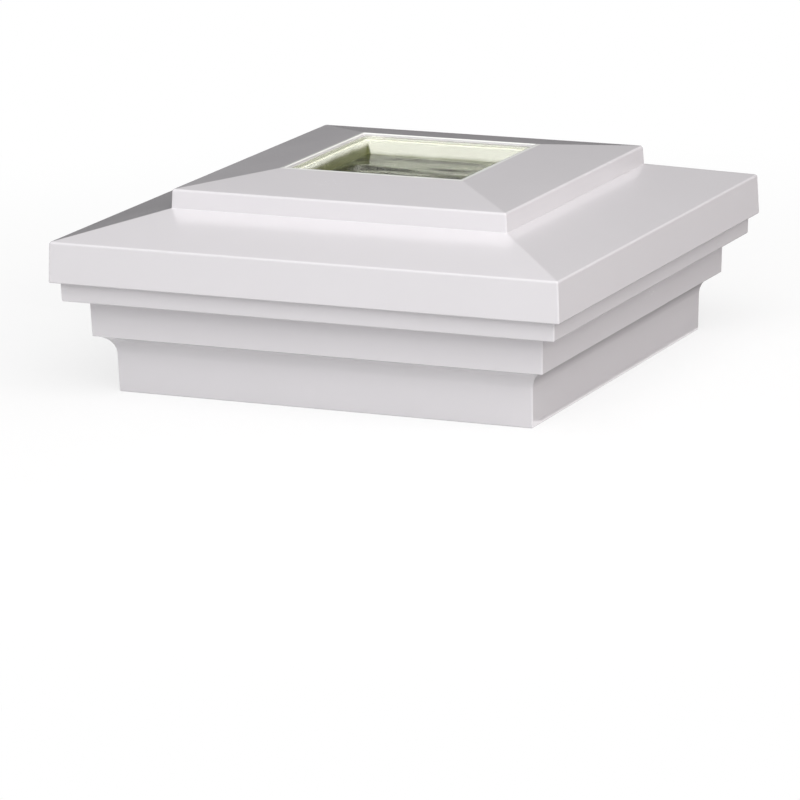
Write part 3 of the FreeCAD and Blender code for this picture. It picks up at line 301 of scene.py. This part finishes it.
def height_field(x, y, top, bottom):
    """Closed slab over a grid: points (x, y, top) above points (x, y, bottom), with walls round the edge.

    The top's normals are (-dz/dx, -dz/dy, 1), made one long; the floor and the walls are flat.
    """
    rows, columns = x.shape
    layer = rows * columns
    points = np.stack([np.stack([x, y, top], 2), np.stack([x, y, np.full_like(top, bottom)], 2)])
    i, j = np.meshgrid(np.arange(rows - 1), np.arange(columns - 1), indexing="ij")
    corner = (i * columns + j).ravel()
    over = np.stack([corner, corner + columns, corner + columns + 1, corner + 1], 1)
    under = over[:, ::-1] + layer
    row = np.arange(rows - 1) * columns
    south = np.stack([row + layer, row + columns + layer, row + columns, row], 1)
    north = south[:, ::-1] + columns - 1
    column = np.arange(columns - 1)
    west = np.stack([column, column + 1, column + 1 + layer, column + layer], 1)
    east = west[:, ::-1] + (rows - 1) * columns
    sides = [(under, (0, 0, -1)), (south, (0, -1, 0)), (north, (0, 1, 0)), (west, (-1, 0, 0)),
             (east, (1, 0, 0))]
    slope_x, slope_y = np.gradient(top, x[:, 0], y[0])
    smooth = np.stack([-slope_x, -slope_y, np.ones_like(top)], 2).reshape(-1, 3)
    smooth /= np.linalg.norm(smooth, axis=1)[:, None]
    flat = [np.zeros((len(quads), 4, 3)) + normal for quads, normal in sides]
    return (points.reshape(-1, 3), np.concatenate([over] + [quads for quads, _ in sides]),
            np.concatenate([smooth[over]] + flat))


def add_piece(name, shells, body, *stands_for):
    """Makes one mesh from closed shells with their own normals, and puts it in a node's place."""
    points, quads, normals, base = [], [], [], 0
    for shell_points, shell_quads, shell_normals in shells:
        points.append(shell_points)
        quads.append(shell_quads + base)
        normals.append(shell_normals)
        base += len(shell_points)
    mesh = bpy.data.meshes.new(name)
    mesh.from_pydata(np.concatenate(points).tolist(), [], np.concatenate(quads).tolist())
    mesh.shade_smooth()
    mesh.normals_split_custom_set(np.concatenate(normals).reshape(-1, 3).tolist())
    piece = bpy.data.objects.new(name, mesh)
    bpy.context.scene.collection.objects.link(piece)
    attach(piece, body)
    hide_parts(*stands_for)
    return piece


# ---------------------------------------------------------------------------------------------------
# Shader maths
# ---------------------------------------------------------------------------------------------------
class Signal:
    """A shader socket: Python's operators on it add Math nodes."""

    def __init__(self, shader, socket):
        self.shader = shader
        self.socket = socket

    def math(self, operation, first, second=0.0):
        return self.shader.add("ShaderNodeMath", {"operation": operation}, {0: first, 1: second})

    def __add__(self, other):
        return self.math("ADD", self, other)

    def __sub__(self, other):
        return self.math("SUBTRACT", self, other)

    def __mul__(self, other):
        return self.math("MULTIPLY", self, other)

    __radd__ = __add__


class Nodes:
    """A node tree under construction; this one is a world's."""
    last_node = "World Output"

    def __init__(self, tree):
        self.tree = tree

    def add(self, kind, settings=None, inputs=None, output=0):
        """Adds a node: its settings first, then its sockets' values or links."""
        node = self.tree.nodes.new(kind)
        for key, value in (settings or {}).items():
            if key == "stops":
                ramp = node.color_ramp.elements
                while len(ramp) < len(value):
                    ramp.new(0.5)
                for element, (position, tone) in zip(ramp, value):
                    element.position = position
                    element.color = tone
            else:
                setattr(node, key, value)
        for key, value in (inputs or {}).items():
            self.feed(node.inputs[key], value)
        return Signal(self, node.outputs[output])

    def feed(self, socket, value):
        if isinstance(value, Signal):
            self.tree.links.new(value.socket, socket)
        else:
            socket.default_value = value

    def mixed(self, factor, first, second):
        """Mix of two shaders."""
        return self.add("ShaderNodeMixShader", None, {0: factor, 1: first, 2: second})

    def show(self, shader):
        """Makes a shader the one that the tree puts out."""
        self.feed(self.tree.nodes[self.last_node].inputs["Surface"], shader)

    def seen(self):
        """1 for rays from the camera, also by way of a mirror or glass, and 0 for light that bounces."""
        rays = [self.add("ShaderNodeLightPath", output="Is %s Ray" % kind)
                for kind in ("Camera", "Glossy", "Transmission")]
        return rays[0] + rays[1] + rays[2]


class Finish(Nodes):
    """A material under construction: one Principled shader and the nodes that feed it."""
    last_node = "Material Output"

    def __init__(self, name):
        self.material = bpy.data.materials.new(name)
        self.material.use_nodes = True
        super().__init__(self.material.node_tree)
        self.surface = self.tree.nodes["Principled BSDF"]
        self.place = self.add("ShaderNodeTexCoord", output="Object")

    def set(self, **inputs):
        """Sets or links sockets of the Principled shader, named with _ for a space."""
        for key, value in inputs.items():
            self.feed(self.surface.inputs[key.replace("_", " ")], value)
        return self

    def noise(self, scale, detail=2.0, roughness=0.5, place=None):
        """Noise on the piece's own coordinates, centred on 0; scale is in waves per metre."""
        value = self.add("ShaderNodeTexNoise", None,
                         {"Vector": place or self.place, "Scale": scale, "Detail": detail,
                          "Roughness": roughness})
        return value - 0.5

    def stretched(self, scale):
        """The piece's coordinates stretched along each axis."""
        return self.add("ShaderNodeMapping", None, {"Vector": self.place, "Scale": scale})

    def tinted(self, rgb, spread, amount):
        """A colour made lighter and darker by a signal centred on 0."""
        light = tuple(min(1, c * (1 + amount)) for c in rgb) + (1,)
        dark = tuple(c * (1 - amount) for c in rgb) + (1,)
        return self.blend(spread + 0.5, dark, light)

    def axis(self, number):
        """One of the piece's coordinates, in metres."""
        return self.add("ShaderNodeSeparateXYZ", None, {0: self.place}, output=number)

    def outward(self):
        """Larger of |x| and |y|: constant along squares round the Z axis."""
        x, y = self.axis(0), self.axis(1)
        return x.math("MAXIMUM", x.math("ABSOLUTE", x), y.math("ABSOLUTE", y))

    def ramp(self, value, start, end, low=0.0, high=1.0):
        """Runs from low to high as a value runs from start to end, eased at both."""
        return self.add("ShaderNodeMapRange", {"interpolation_type": "SMOOTHSTEP"},
                        {"Value": value, "From Min": start, "From Max": end, "To Min": low,
                         "To Max": high})

    def blend(self, factor, first, second):
        """Mix of two colours."""
        return self.add("ShaderNodeMix", {"data_type": "RGBA", "clamp_factor": True},
                        {0: factor, 6: first, 7: second}, output=2)

    def base(self):
        """The colour that now feeds the Principled shader."""
        return Signal(self, self.surface.inputs["Base Color"].links[0].from_socket)

    def principled(self):
        """The Principled shader itself."""
        return Signal(self, self.surface.outputs[0])

    def bump(self, height, depth):
        """Normal from a height signal; depth is the bump's height in metres."""
        return self.add("ShaderNodeBump", None, {"Strength": 1.0, "Distance": depth, "Height": height})


def moulding(name, rgb, roughness, grain=1400, depth=0.000004, shade=0.012, skin=0.0):
    """Moulded plastic: fine even grain, faint flow marks in colour and gloss, and a glossy skin.

    grain is in waves per metre, depth is its height in metres, and shade is how far the colour varies.
    """
    finish = Finish(name)
    flow = finish.noise(28, detail=3)
    fine = finish.noise(grain, roughness=0.6)
    return finish.set(Base_Color=finish.tinted(rgb, flow * 1.4, shade),
                      Roughness=roughness + flow * 0.07 + fine * 0.05,
                      Normal=finish.bump(fine, depth), IOR=1.49, Coat_Weight=skin, Coat_Roughness=0.2)


def moulded(*values, **settings):
    """The material of a moulding that needs nothing further."""
    return moulding(*values, **settings).material


def roof_plastic(f, r, w, edge):
    """The roof's plastic, with a painted highlight: paler in a band round the window opening, whose edge is
    at a height, in place of the light that this rounded edge catches.
    """
    shell = moulding("white_roof", tuple(f.white), f.white_roughness, skin=f.skin)
    reach = r.window_half + w.painted_highlight
    bottom = edge - w.painted_highlight_depth
    # painted highlight: paler colour near the opening's edge, fading out outward and downward
    painted_highlight = shell.ramp(shell.outward(), reach, reach - w.painted_highlight_fade)
    painted_highlight = painted_highlight * shell.ramp(shell.axis(2), bottom, bottom + w.painted_highlight_depth_fade)
    return shell.set(Base_Color=shell.blend(painted_highlight, shell.base(), PAINTED_HIGHLIGHT_COLOUR)).material


def well_plastic(f, pane, panel, rim):
    """The well's plastic: a painted glow brightens it a little, and a painted reflection of the dark cells
    darkens it down at the panel.

    The darkened band's upper limit is wavy, and higher on the left wall. pane is the glass's half width,
    and panel and rim are the heights of the well's bottom and top.
    """
    well = moulding("well_plastic", tuple(f.well), roughness=0.22, grain=300, depth=0.000002, shade=0.03)
    wave, rise, fade = 1.5 * MM, 0.72 * (rim - panel), 0.25 * (rim - panel)
    left = well.ramp(well.axis(0), -0.9 * pane, -0.94 * pane)
    level = well.axis(2) + well.noise(90) * wave - left * rise
    # painted reflection: a darker band along the bottom of the walls stands in for the dark cells mirrored
    # in them
    stain_and_reflection = well.ramp(level, panel + fade, panel - fade)
    plain = well.base()
    # painted glow: the walls above the darkened band emit their own colour, as if lit
    return well.set(Base_Color=well.blend(stain_and_reflection, plain, tuple(f.stain_and_reflection) + (1,)),
                    Emission_Color=well.blend(stain_and_reflection, plain, BLACK),
                    Emission_Strength=f.well_painted_glow).material


def metal(name, rgb, roughness, brush=(300, 300, 2500)):
    """Plated or drawn metal: fine streaks, brush waves per metre in X, Y and Z, and slight stains."""
    finish = Finish(name)
    streak = finish.noise(1, detail=3, roughness=0.6, place=finish.stretched(brush))
    stain_and_reflection = finish.noise(120, detail=3)
    return finish.set(Base_Color=finish.tinted(rgb, streak + stain_and_reflection, 0.08), Metallic=1.0,
                      Roughness=roughness + streak * 0.16 + stain_and_reflection * 0.08,
                      Normal=finish.bump(streak, 0.00001)).material


def rubber(name, rgb, roughness=0.7):
    """Rubber or soft insulation: dull with a dusty bloom."""
    finish = Finish(name)
    bloom = finish.noise(160, detail=4, roughness=0.6)
    return finish.set(Base_Color=finish.tinted(rgb, bloom * 1.5, 0.2), Roughness=roughness + bloom * 0.2,
                      Normal=finish.bump(finish.noise(2200), 0.00002)).material


def laminate(name, rgb, roughness=0.3):
    """Circuit board: solder mask over faint weave and copper traces."""
    finish = Finish(name)
    weave = finish.add("ShaderNodeTexChecker", None, {"Vector": finish.place, "Scale": 900.0}, output=1)
    trace = finish.add("ShaderNodeTexBrick", {"offset": 0.37, "offset_frequency": 3},
                       {"Vector": finish.place, "Scale": 160.0, "Mortar Size": 0.04, "Color1": BLACK,
                        "Color2": BLACK, "Mortar": WHITE}, output=1)
    copper = tuple(min(1, c * 1.5 + 0.02) for c in rgb) + (1,)
    return finish.set(Base_Color=finish.blend(trace, finish.tinted(rgb, weave - 0.5, 0.05), copper),
                      Roughness=roughness + weave * 0.05, Normal=finish.bump(trace, 0.00002)).material


def clear(name, rgb, roughness, cloud=0.0, painted_edge_shade=None):
    """Clear glass or resin with a slight haze that varies; it lets the lamps' light through.

    The argument after cloud gives where the edge's painted shade, a darker tint in place of the shaded gap
    round the pane, starts and where it is full, as distances from the middle.
    """
    finish = Finish(name)
    haze = finish.noise(60, detail=3)
    finish.set(Base_Color=finish.tinted(rgb, haze, cloud), Roughness=roughness + (haze + 0.5) * 0.02,
               Transmission_Weight=1.0, IOR=1.5)
    if painted_edge_shade:
        # painted shade: the pane's edge is darkened toward a greenish grey
        edge = finish.ramp(finish.outward(), *painted_edge_shade)
        finish.set(Base_Color=finish.blend(edge, finish.base(), GLASS_PAINTED_SHADE_COLOUR))
    lamps = finish.add("ShaderNodeLightPath", output="Is Shadow Ray")
    through = finish.add("ShaderNodeBsdfTransparent", None, {"Color": tuple(rgb) + (1,)})
    finish.show(finish.mixed(lamps, finish.principled(), through))
    return finish.material


def silicon(name, rgb):
    """Solar cells: dark crystal facets crossed by fine pale grid lines."""
    finish = Finish(name)
    facet = finish.add("ShaderNodeTexVoronoi", None, {"Vector": finish.place, "Scale": 180.0}, output=1)
    tone = finish.add("ShaderNodeSeparateColor", None, {0: facet})
    wave = finish.add("ShaderNodeTexWave", {"bands_direction": "Y", "wave_profile": "SIN"},
                      {"Vector": finish.place, "Scale": 130.0, "Distortion": 0.0})
    lines = finish.add("ShaderNodeValToRGB", {"stops": [(0.0, BLACK), (0.93, BLACK), (0.99, WHITE)]},
                       {0: wave})
    cells = finish.tinted(rgb, tone - 0.5, 0.35)
    return finish.set(Base_Color=finish.blend(lines, cells, GRID_LINE_COLOUR),
                      Roughness=0.25 + tone * 0.1).material


def opal(name, rgb, light, strength):
    """Milky plastic lit from inside, with slightly cloudy light."""
    finish = Finish(name)
    cloud = finish.noise(70)
    return finish.set(Base_Color=rgb + (1,), Roughness=0.35 + cloud * 0.06,
                      Emission_Color=finish.tinted(light, cloud, 0.1), Emission_Strength=strength,
                      Normal=finish.bump(finish.noise(1500), 0.00001)).material


def floor_finish(s):
    """Pale floor: whiter with the distance for what is seen of it, darker for the light that it bounces,
    and see-through from below."""
    floor = Finish("floor_finish")
    seen = floor.seen()
    bounce = tuple(c * s.bounce for c in s.floor) + (1,)
    pale = floor.tinted(tuple(s.floor), floor.noise(40, detail=3), 0.01)
    floor.set(Roughness=0.9, Base_Color=floor.blend(seen, bounce, pale))
    away = floor.add("ShaderNodeVectorMath", {"operation": "LENGTH"}, {0: floor.place}, output=1)
    far = floor.ramp(away, s.spread * 0.35, s.spread, low=s.whiteness)
    white = floor.add("ShaderNodeEmission", None, {"Color": WHITE, "Strength": 1.0})
    below = floor.add("ShaderNodeNewGeometry", output="Backfacing")
    floor.show(floor.mixed(below, floor.mixed(seen * far, floor.principled(), white),
                           floor.add("ShaderNodeBsdfTransparent")))
    return floor.material


def cloth_finish():
    """Black cloth with faint uneven dye."""
    cloth = Finish("cloth_finish")
    dye = cloth.tinted((0.015, 0.015, 0.016), cloth.noise(30, detail=3), 0.2)
    return cloth.set(Roughness=0.95, Base_Color=dye).material


def dress(material, *nodes):
    """Gives CAD nodes their finish."""
    for node in nodes:
        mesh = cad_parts[node].data
        mesh.materials.clear()
        mesh.materials.append(material)


# ---------------------------------------------------------------------------------------------------
# Operators: one for each group of pieces
# ---------------------------------------------------------------------------------------------------
def collar_levels(c):
    """Heights and half widths of the collar's outside, from its sizes."""
    rim = c.skirt_inner + c.wall
    top = rim + c.skirt_draft
    turn = math.pi / 2 + math.atan(c.cove_slope)
    corner = c.skirt_height + c.cove_radius / math.tan(turn / 2)
    lower = top + c.cove_reach
    lower_z = corner + c.cove_reach * c.cove_slope
    upper_z = lower_z + c.lower_height
    upper = lower + c.lower_draft + c.step
    return {"rim": rim, "top": top, "corner": corner, "lower": lower, "lower_z": lower_z,
            "lower_top": lower + c.lower_draft, "upper": upper, "upper_z": upper_z,
            "upper_top": upper + c.upper_draft, "fascia_z": upper_z + c.upper_height}


def fascia_inside(c, r, z):
    """Half width of the fascia's inner face at a height."""
    level = collar_levels(c)
    lean = r.fascia_draft * (z - level["fascia_z"]) / r.fascia_height
    return level["upper_top"] + r.fascia_gap - lean


class POSTCAP_OT_collar(bpy.types.Operator):
    """Collar: skirt, cove and two strips, with the tongue inside the fascia and four screw lugs"""
    bl_idname = "postcap.collar"
    bl_label = "Collar"

    def execute(self, context):
        c, r, f = context.scene.collar_sizes, context.scene.roof_sizes, context.scene.finishes
        v = collar_levels(c)
        eave = v["fascia_z"] + r.fascia_height
        tongue_z = eave - r.wall - r.fascia_gap
        shoulder = v["lower_z"] + c.shoulder
        ledge = v["upper_z"] + c.wall
        outline = rounded_outline([
            (v["rim"], 0, c.arris), (v["top"], v["corner"], c.cove_radius),
            (v["lower"], v["lower_z"], c.arris / 2), (v["lower_top"], v["upper_z"], c.arris / 4),
            (v["upper"], v["upper_z"], c.arris), (v["upper_top"], v["fascia_z"], 0),
            (fascia_inside(c, r, tongue_z) - r.fascia_gap, tongue_z, c.arris),
            (v["upper"] - c.wall, tongue_z, 0), (v["upper"] - c.wall, ledge, c.arris),
            (v["lower"] - c.wall, ledge, c.arris / 2), (v["lower"] - c.wall, shoulder, c.arris / 4),
            (c.skirt_inner, shoulder, c.arris / 4), (c.skirt_inner, 0, c.arris / 4)])
        shells = [square_sweep(outline, r.mitre)]
        inner, outer = c.lug_at - c.lug_half, c.skirt_inner + c.wall / 2
        for sx, sy in CORNERS:
            xs, ys = sorted((sx * inner, sx * outer)), sorted((sy * inner, sy * outer))
            shells.append(solid_block((xs[0], ys[0], v["lower_z"]), (xs[1], ys[1], shoulder)))
        piece = add_piece("collar_moulding", shells, HOUSING, "collar")
        piece.data.materials.append(
            moulded("white_collar", tuple(f.white), f.white_roughness, skin=f.skin))
        return {"FINISHED"}


class POSTCAP_OT_roof(bpy.types.Operator):
    """Roof: fascia, two slopes, raised tier and window opening, with the bosses inside"""
    bl_idname = "postcap.roof"
    bl_label = "Roof"

    def execute(self, context):
        c, r, f = context.scene.collar_sizes, context.scene.roof_sizes, context.scene.finishes
        v = collar_levels(c)
        base = fascia_inside(c, r, v["fascia_z"]) + r.fascia_wall
        top = base - r.fascia_draft
        eave = v["fascia_z"] + r.fascia_height
        band = eave + (top - r.tier_half) * r.eave_slope
        tier = band + r.tier_height
        tier_top = r.tier_half - r.tier_draft
        edge = tier + (tier_top - r.window_half) * r.crown_slope
        ring = r.window_half + r.ring_wall
        ring_z = edge - r.ring_depth
        inner_tier = r.tier_half - r.wall
        inner_eave = eave + (top - fascia_inside(c, r, eave)) * r.eave_slope - r.wall

        def under_crown(half):
            return tier + (tier_top - half) * r.crown_slope - r.wall

        outline = rounded_outline([
            (base, v["fascia_z"], r.arris), (top, eave, r.fascia_arris), (r.tier_half, band, r.fillet),
            (tier_top, tier, r.fascia_arris), (r.window_half, edge, r.arris),
            (r.window_half, ring_z, r.arris / 2), (ring, ring_z, r.arris / 2), (ring, under_crown(ring), 0),
            (inner_tier - r.tier_draft, under_crown(inner_tier), 0),
            (inner_tier, eave + (top - inner_tier) * r.eave_slope - r.wall, 0),
            (fascia_inside(c, r, inner_eave), inner_eave, 0),
            (fascia_inside(c, r, v["fascia_z"]), v["fascia_z"], r.arris / 2)])
        shells = [square_sweep(outline, r.mitre)]
        boss_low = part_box("roof_shell")[0].z
        boss_top = eave + (top - c.lug_at) * r.eave_slope - r.wall / 2
        small_top = under_crown(r.small_boss_at) + r.wall / 2
        for sx, sy in CORNERS:
            shells.append(upright_bar(sx * c.lug_at, sy * c.lug_at, boss_low, boss_top, r.boss))
            shells.append(upright_bar(sx * r.small_boss_at, sy * r.small_boss_at, ring_z, small_top,
                                      r.small_boss))
        piece = add_piece("roof_moulding", shells, HOUSING, "roof_shell")
        piece.data.materials.append(roof_plastic(f, r, context.scene.window_sizes, edge))
        return {"FINISHED"}


class POSTCAP_OT_window(bpy.types.Operator):
    """Window: glass, the bright bead under its edge and the cream well"""
    bl_idname = "postcap.window"
    bl_label = "Window"

    def execute(self, context):
        f, r, w = context.scene.finishes, context.scene.roof_sizes, context.scene.window_sizes
        low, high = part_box("window_gasket")
        outer, inner = high.x, high.x - w.bead_width
        bead = rounded_outline([(outer, low.z, w.bead_outer), (outer, high.z, w.bead_outer),
                                (inner, high.z, w.bead_inner), (inner, low.z, w.bead_inner)])
        piece = add_piece("window_bead", [square_sweep(bead, r.mitre)], HOUSING, "window_gasket")
        piece.data.materials.append(
            moulded("bead_silicone", tuple(f.bead), roughness=0.3, grain=600, depth=0.00002, shade=0.05))
        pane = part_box("window_glass")[1].x
        painted_edge_shade = pane - w.painted_edge_shade
        dress(clear("window_glass_finish", tuple(f.glass), roughness=0.0,
                    painted_edge_shade=(painted_edge_shade, painted_edge_shade + w.painted_edge_shade_fade)), "window_glass")
        dress(well_plastic(f, pane, panel=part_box("panel_resin")[1].z, rim=low.z), "solar_tray")
        return {"FINISHED"}


class POSTCAP_OT_panel(bpy.types.Operator):
    """Solar panel: cells, ribbons and the wavy cast resin over them"""
    bl_idname = "postcap.panel"
    bl_label = "Solar panel"

    def execute(self, context):
        f, w = context.scene.finishes, context.scene.window_sizes
        low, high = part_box("panel_resin")
        across = np.linspace(low.x, high.x, 90)
        x, y = np.meshgrid(across, across, indexing="ij")
        swell = sum(part * np.sin(kx * x + ky * y + phase) for part, kx, ky, phase in CASTING_WAVES)
        swell *= np.clip((high.x - np.maximum(abs(x), abs(y))) / w.casting_margin, 0, 1)
        top = high.z - w.casting_sink + w.casting_swell * swell
        piece = add_piece("panel_casting", [height_field(x, y, top, low.z)], HOUSING, "panel_resin")
        piece.data.materials.append(clear("casting_resin", tuple(f.resin), roughness=0.05, cloud=0.08))
        dress(silicon("solar_silicon", tuple(f.silicon)), "solar_cells")
        dress(metal("tinned_ribbon", (0.2, 0.22, 0.18), roughness=0.35), "cell_ribbons")
        dress(laminate("panel_laminate", (0.03, 0.055, 0.035)), "solar_board")
        return {"FINISHED"}


class POSTCAP_OT_lamps(bpy.types.Operator):
    """Lamps: boards, light-emitting chips and the opal strips under them"""
    bl_idname = "postcap.lamps"
    bl_label = "Lamps"

    def execute(self, context):
        f = context.scene.finishes
        strip = opal("opal_strip", (0.9, 0.91, 0.92), tuple(f.lamp), f.lamp_strength)
        chip = opal("lamp_phosphor", (0.95, 0.85, 0.5), tuple(f.lamp), f.lamp_strength * 2)
        board = laminate("lamp_laminate", (0.8, 0.8, 0.78))
        for side in ("front", "right", "back", "left"):
            dress(strip, "diffuser_" + side)
            dress(chip, "leds_" + side)
            dress(board, "led_board_" + side)
        return {"FINISHED"}


class POSTCAP_OT_chassis(bpy.types.Operator):
    """Chassis, its guide fins, rubber strips, covers and screws"""
    bl_idname = "postcap.chassis"
    bl_label = "Chassis"

    def execute(self, context):
        f = context.scene.finishes
        dress(moulded("chassis_plastic_finish", tuple(f.chassis), roughness=0.5, grain=900, depth=0.00002,
                      shade=0.03), "chassis", "post_guides", "battery_box", "battery_cover")
        dress(rubber("strip_rubber", (0.03, 0.03, 0.032)), "post_pads")
        dress(metal("zinc_plate", (0.66, 0.67, 0.69), roughness=0.3), "corner_screws", "tray_screws",
              "battery_box_screws", "board_screws", "switch_screws")
        return {"FINISHED"}


class POSTCAP_OT_power(bpy.types.Operator):
    """Cells, contacts, control board, switch and wires"""
    bl_idname = "postcap.power"
    bl_label = "Power"

    def execute(self, context):
        dress(moulded("cell_sleeve_finish", (0.05, 0.24, 0.1), roughness=0.25, grain=500, depth=0.00001,
                      shade=0.08), "battery_cell_south", "battery_cell_north")
        dress(metal("nickel_strip", (0.7, 0.68, 0.62), roughness=0.2), "contact_negative",
              "contact_positive", "contact_bridge")
        dress(laminate("board_laminate", (0.02, 0.12, 0.045)), "control_board")
        dress(moulded("chip_plastic", (0.02, 0.02, 0.022), roughness=0.45), "controller_chip")
        dress(moulded("ferrite_core", (0.05, 0.048, 0.046), roughness=0.6, grain=700, depth=0.00003),
              "inductor")
        dress(metal("drawn_can", (0.72, 0.73, 0.76), roughness=0.28, brush=(900, 900, 60)), "capacitors")
        dress(moulded("socket_nylon", (0.74, 0.71, 0.6), roughness=0.4), "wire_sockets")
        dress(moulded("switch_plastic", (0.02, 0.02, 0.02), roughness=0.4), "power_switch")
        dress(moulded("knob_plastic_finish", (0.75, 0.75, 0.74), roughness=0.4), "switch_slider")
        dress(rubber("red_wire", (0.4, 0.015, 0.012), roughness=0.45), "panel_wire_red",
              "battery_wire_red", "switch_wires", "led_wires_red")
        dress(rubber("black_wire", (0.015, 0.015, 0.016), roughness=0.45), "panel_wire_black",
              "battery_wire_black", "led_wires_black")
        return {"FINISHED"}


def aim_camera(s, target_z):
    """Camera axes: back is (sin a cos e, -cos a cos e, sin e); right and up are turned by the roll."""
    flat = math.cos(s.elevation)
    back = Vector((math.sin(s.azimuth) * flat, -math.cos(s.azimuth) * flat, math.sin(s.elevation)))
    level = Vector((math.cos(s.azimuth), math.sin(s.azimuth), 0))
    upright = back.cross(level)
    right = math.cos(s.roll) * level + math.sin(s.roll) * upright
    up = math.cos(s.roll) * upright - math.sin(s.roll) * level
    place = s.distance * back - s.right * right - s.up * up + Vector((0, 0, target_z))
    pose = Matrix((right, up, back)).transposed().to_4x4()
    pose.translation = place
    data = bpy.data.cameras.new("camera")
    data.lens = s.lens
    data.sensor_width = 36.0
    data.clip_end = 20.0
    camera = bpy.data.objects.new("camera", data)
    camera.matrix_world = pose
    bpy.context.scene.collection.objects.link(camera)
    bpy.context.scene.camera = camera


def toward(azimuth, elevation, distance):
    """Point in metres from the cap, at degrees to the right of its front and above the floor."""
    a, e = math.radians(azimuth), math.radians(elevation)
    return Vector((math.sin(a) * math.cos(e), -math.cos(a) * math.cos(e), math.sin(e))) * distance


def area_lamp(name, place, size, level, tint=(1, 1, 1)):
    """Soft square lamp aimed at the cap; level is what it adds to a white card facing it there.

    It doesn't show in reflections, so that glossy slopes seen against the light keep their tone.
    """
    data = bpy.data.lights.new(name, "AREA")
    data.shape = "SQUARE"
    data.size = size
    data.energy = level * math.pi ** 2 * place.length_squared
    data.color = tint
    lamp = bpy.data.objects.new(name, data)
    lamp.location = place
    lamp.rotation_euler = (-place).to_track_quat("-Z", "Y").to_euler()
    lamp.visible_glossy = False
    bpy.context.scene.collection.objects.link(lamp)


def stage_surface(name, points, quads, material):
    """A surface of the studio, which isn't part of the cap."""
    mesh = bpy.data.meshes.new(name)
    mesh.from_pydata(points, [], quads)
    mesh.materials.append(material)
    surface = bpy.data.objects.new(name, mesh)
    bpy.context.scene.collection.objects.link(surface)
    return surface


def dark_cove(start, stop, inner, outer, height, lift=0.001, steps=24):
    """Grid of a cloth that lies just above the floor round the cap and then stands up behind it.

    Its section (inner, lift), (outer, lift), (outer, height) turns about Z between two azimuths, in
    degrees to the right of the cap's front.
    """
    a = np.radians(np.linspace(start, stop, steps))
    section = ((inner, lift), (outer, lift), (outer, height))
    grid = np.stack([np.stack([r * np.sin(a), -r * np.cos(a), np.full_like(a, z)], 1) for r, z in section])
    row, column = np.meshgrid(np.arange(2), np.arange(steps - 1), indexing="ij")
    corner = (row * steps + column).ravel()
    quads = np.stack([corner, corner + 1, corner + steps + 1, corner + steps], 1)
    return grid.reshape(-1, 3).tolist(), quads.tolist()


def light_world(s):
    """Even light from all round, which is plain white for what is seen of it."""
    world = bpy.data.worlds.new("studio")
    bpy.context.scene.world = world
    world.use_nodes = True
    sky = Nodes(world.node_tree)
    ambient = sky.add("ShaderNodeBackground", None, {"Color": WHITE, "Strength": s.ambient})
    plain = sky.add("ShaderNodeBackground", None, {"Color": WHITE, "Strength": 1.0})
    sky.show(sky.mixed(sky.seen(), ambient, plain))


class POSTCAP_OT_stage(bpy.types.Operator):
    """Stage: pale floor that can be looked through from below, white background, dark cloth, soft lamps
    and the camera"""
    bl_idname = "postcap.stage"
    bl_label = "Stage"

    def execute(self, context):
        s = context.scene.studio
        aim_camera(s, collar_levels(context.scene.collar_sizes)["fascia_z"])
        reach = 6.0
        corners = [(-reach, -reach, 0), (reach, -reach, 0), (reach, reach, 0), (-reach, reach, 0)]
        stage_surface("floor", corners, [(0, 1, 2, 3)], floor_finish(s))
        cloth = stage_surface("dark_cloth",
                              *dark_cove(start=-100, stop=-312, inner=0.07, outer=1.3, height=2.4),
                              cloth_finish())
        for ray in ("camera", "diffuse", "volume_scatter", "shadow"):
            setattr(cloth, "visible_" + ray, False)
        light_world(s)
        area_lamp("key", toward(azimuth=32, elevation=48, distance=1.9), size=2.2, level=s.key)
        area_lamp("fill", toward(azimuth=95, elevation=22, distance=1.6), size=1.0, level=s.fill,
                  tint=FILL_TINT)
        context.scene.view_settings.view_transform = "Standard"
        return {"FINISHED"}


class POSTCAP_PT_panel(bpy.types.Panel):
    """Lists the operators that build the post cap light"""
    bl_idname = "POSTCAP_PT_panel"
    bl_label = "Post cap light"
    bl_space_type = "VIEW_3D"
    bl_region_type = "UI"
    bl_category = "Post cap"

    def draw(self, context):
        for operator in OPERATORS:
            self.layout.operator(operator.bl_idname)


OPERATORS = (POSTCAP_OT_stage, POSTCAP_OT_collar, POSTCAP_OT_roof, POSTCAP_OT_window, POSTCAP_OT_panel,
             POSTCAP_OT_lamps, POSTCAP_OT_chassis, POSTCAP_OT_power)
SETTINGS = {"collar_sizes": CollarSizes, "roof_sizes": RoofSizes, "window_sizes": WindowSizes,
            "finishes": Finishes, "studio": Studio}


def register():
    for group in SETTINGS.values():
        bpy.utils.register_class(group)
    for name, group in SETTINGS.items():
        setattr(bpy.types.Scene, name, bpy.props.PointerProperty(type=group))
    for operator in OPERATORS + (POSTCAP_PT_panel,):
        bpy.utils.register_class(operator)


def unregister():
    for operator in reversed(OPERATORS + (POSTCAP_PT_panel,)):
        bpy.utils.unregister_class(operator)
    for name, group in SETTINGS.items():
        delattr(bpy.types.Scene, name)
        bpy.utils.unregister_class(group)


def main():
    register()
    bpy.ops.postcap.stage()
    bpy.ops.postcap.collar()
    bpy.ops.postcap.roof()
    bpy.ops.postcap.window()
    bpy.ops.postcap.panel()
    bpy.ops.postcap.lamps()
    bpy.ops.postcap.chassis()
    bpy.ops.postcap.power()


if __name__ == "__main__":
    main()
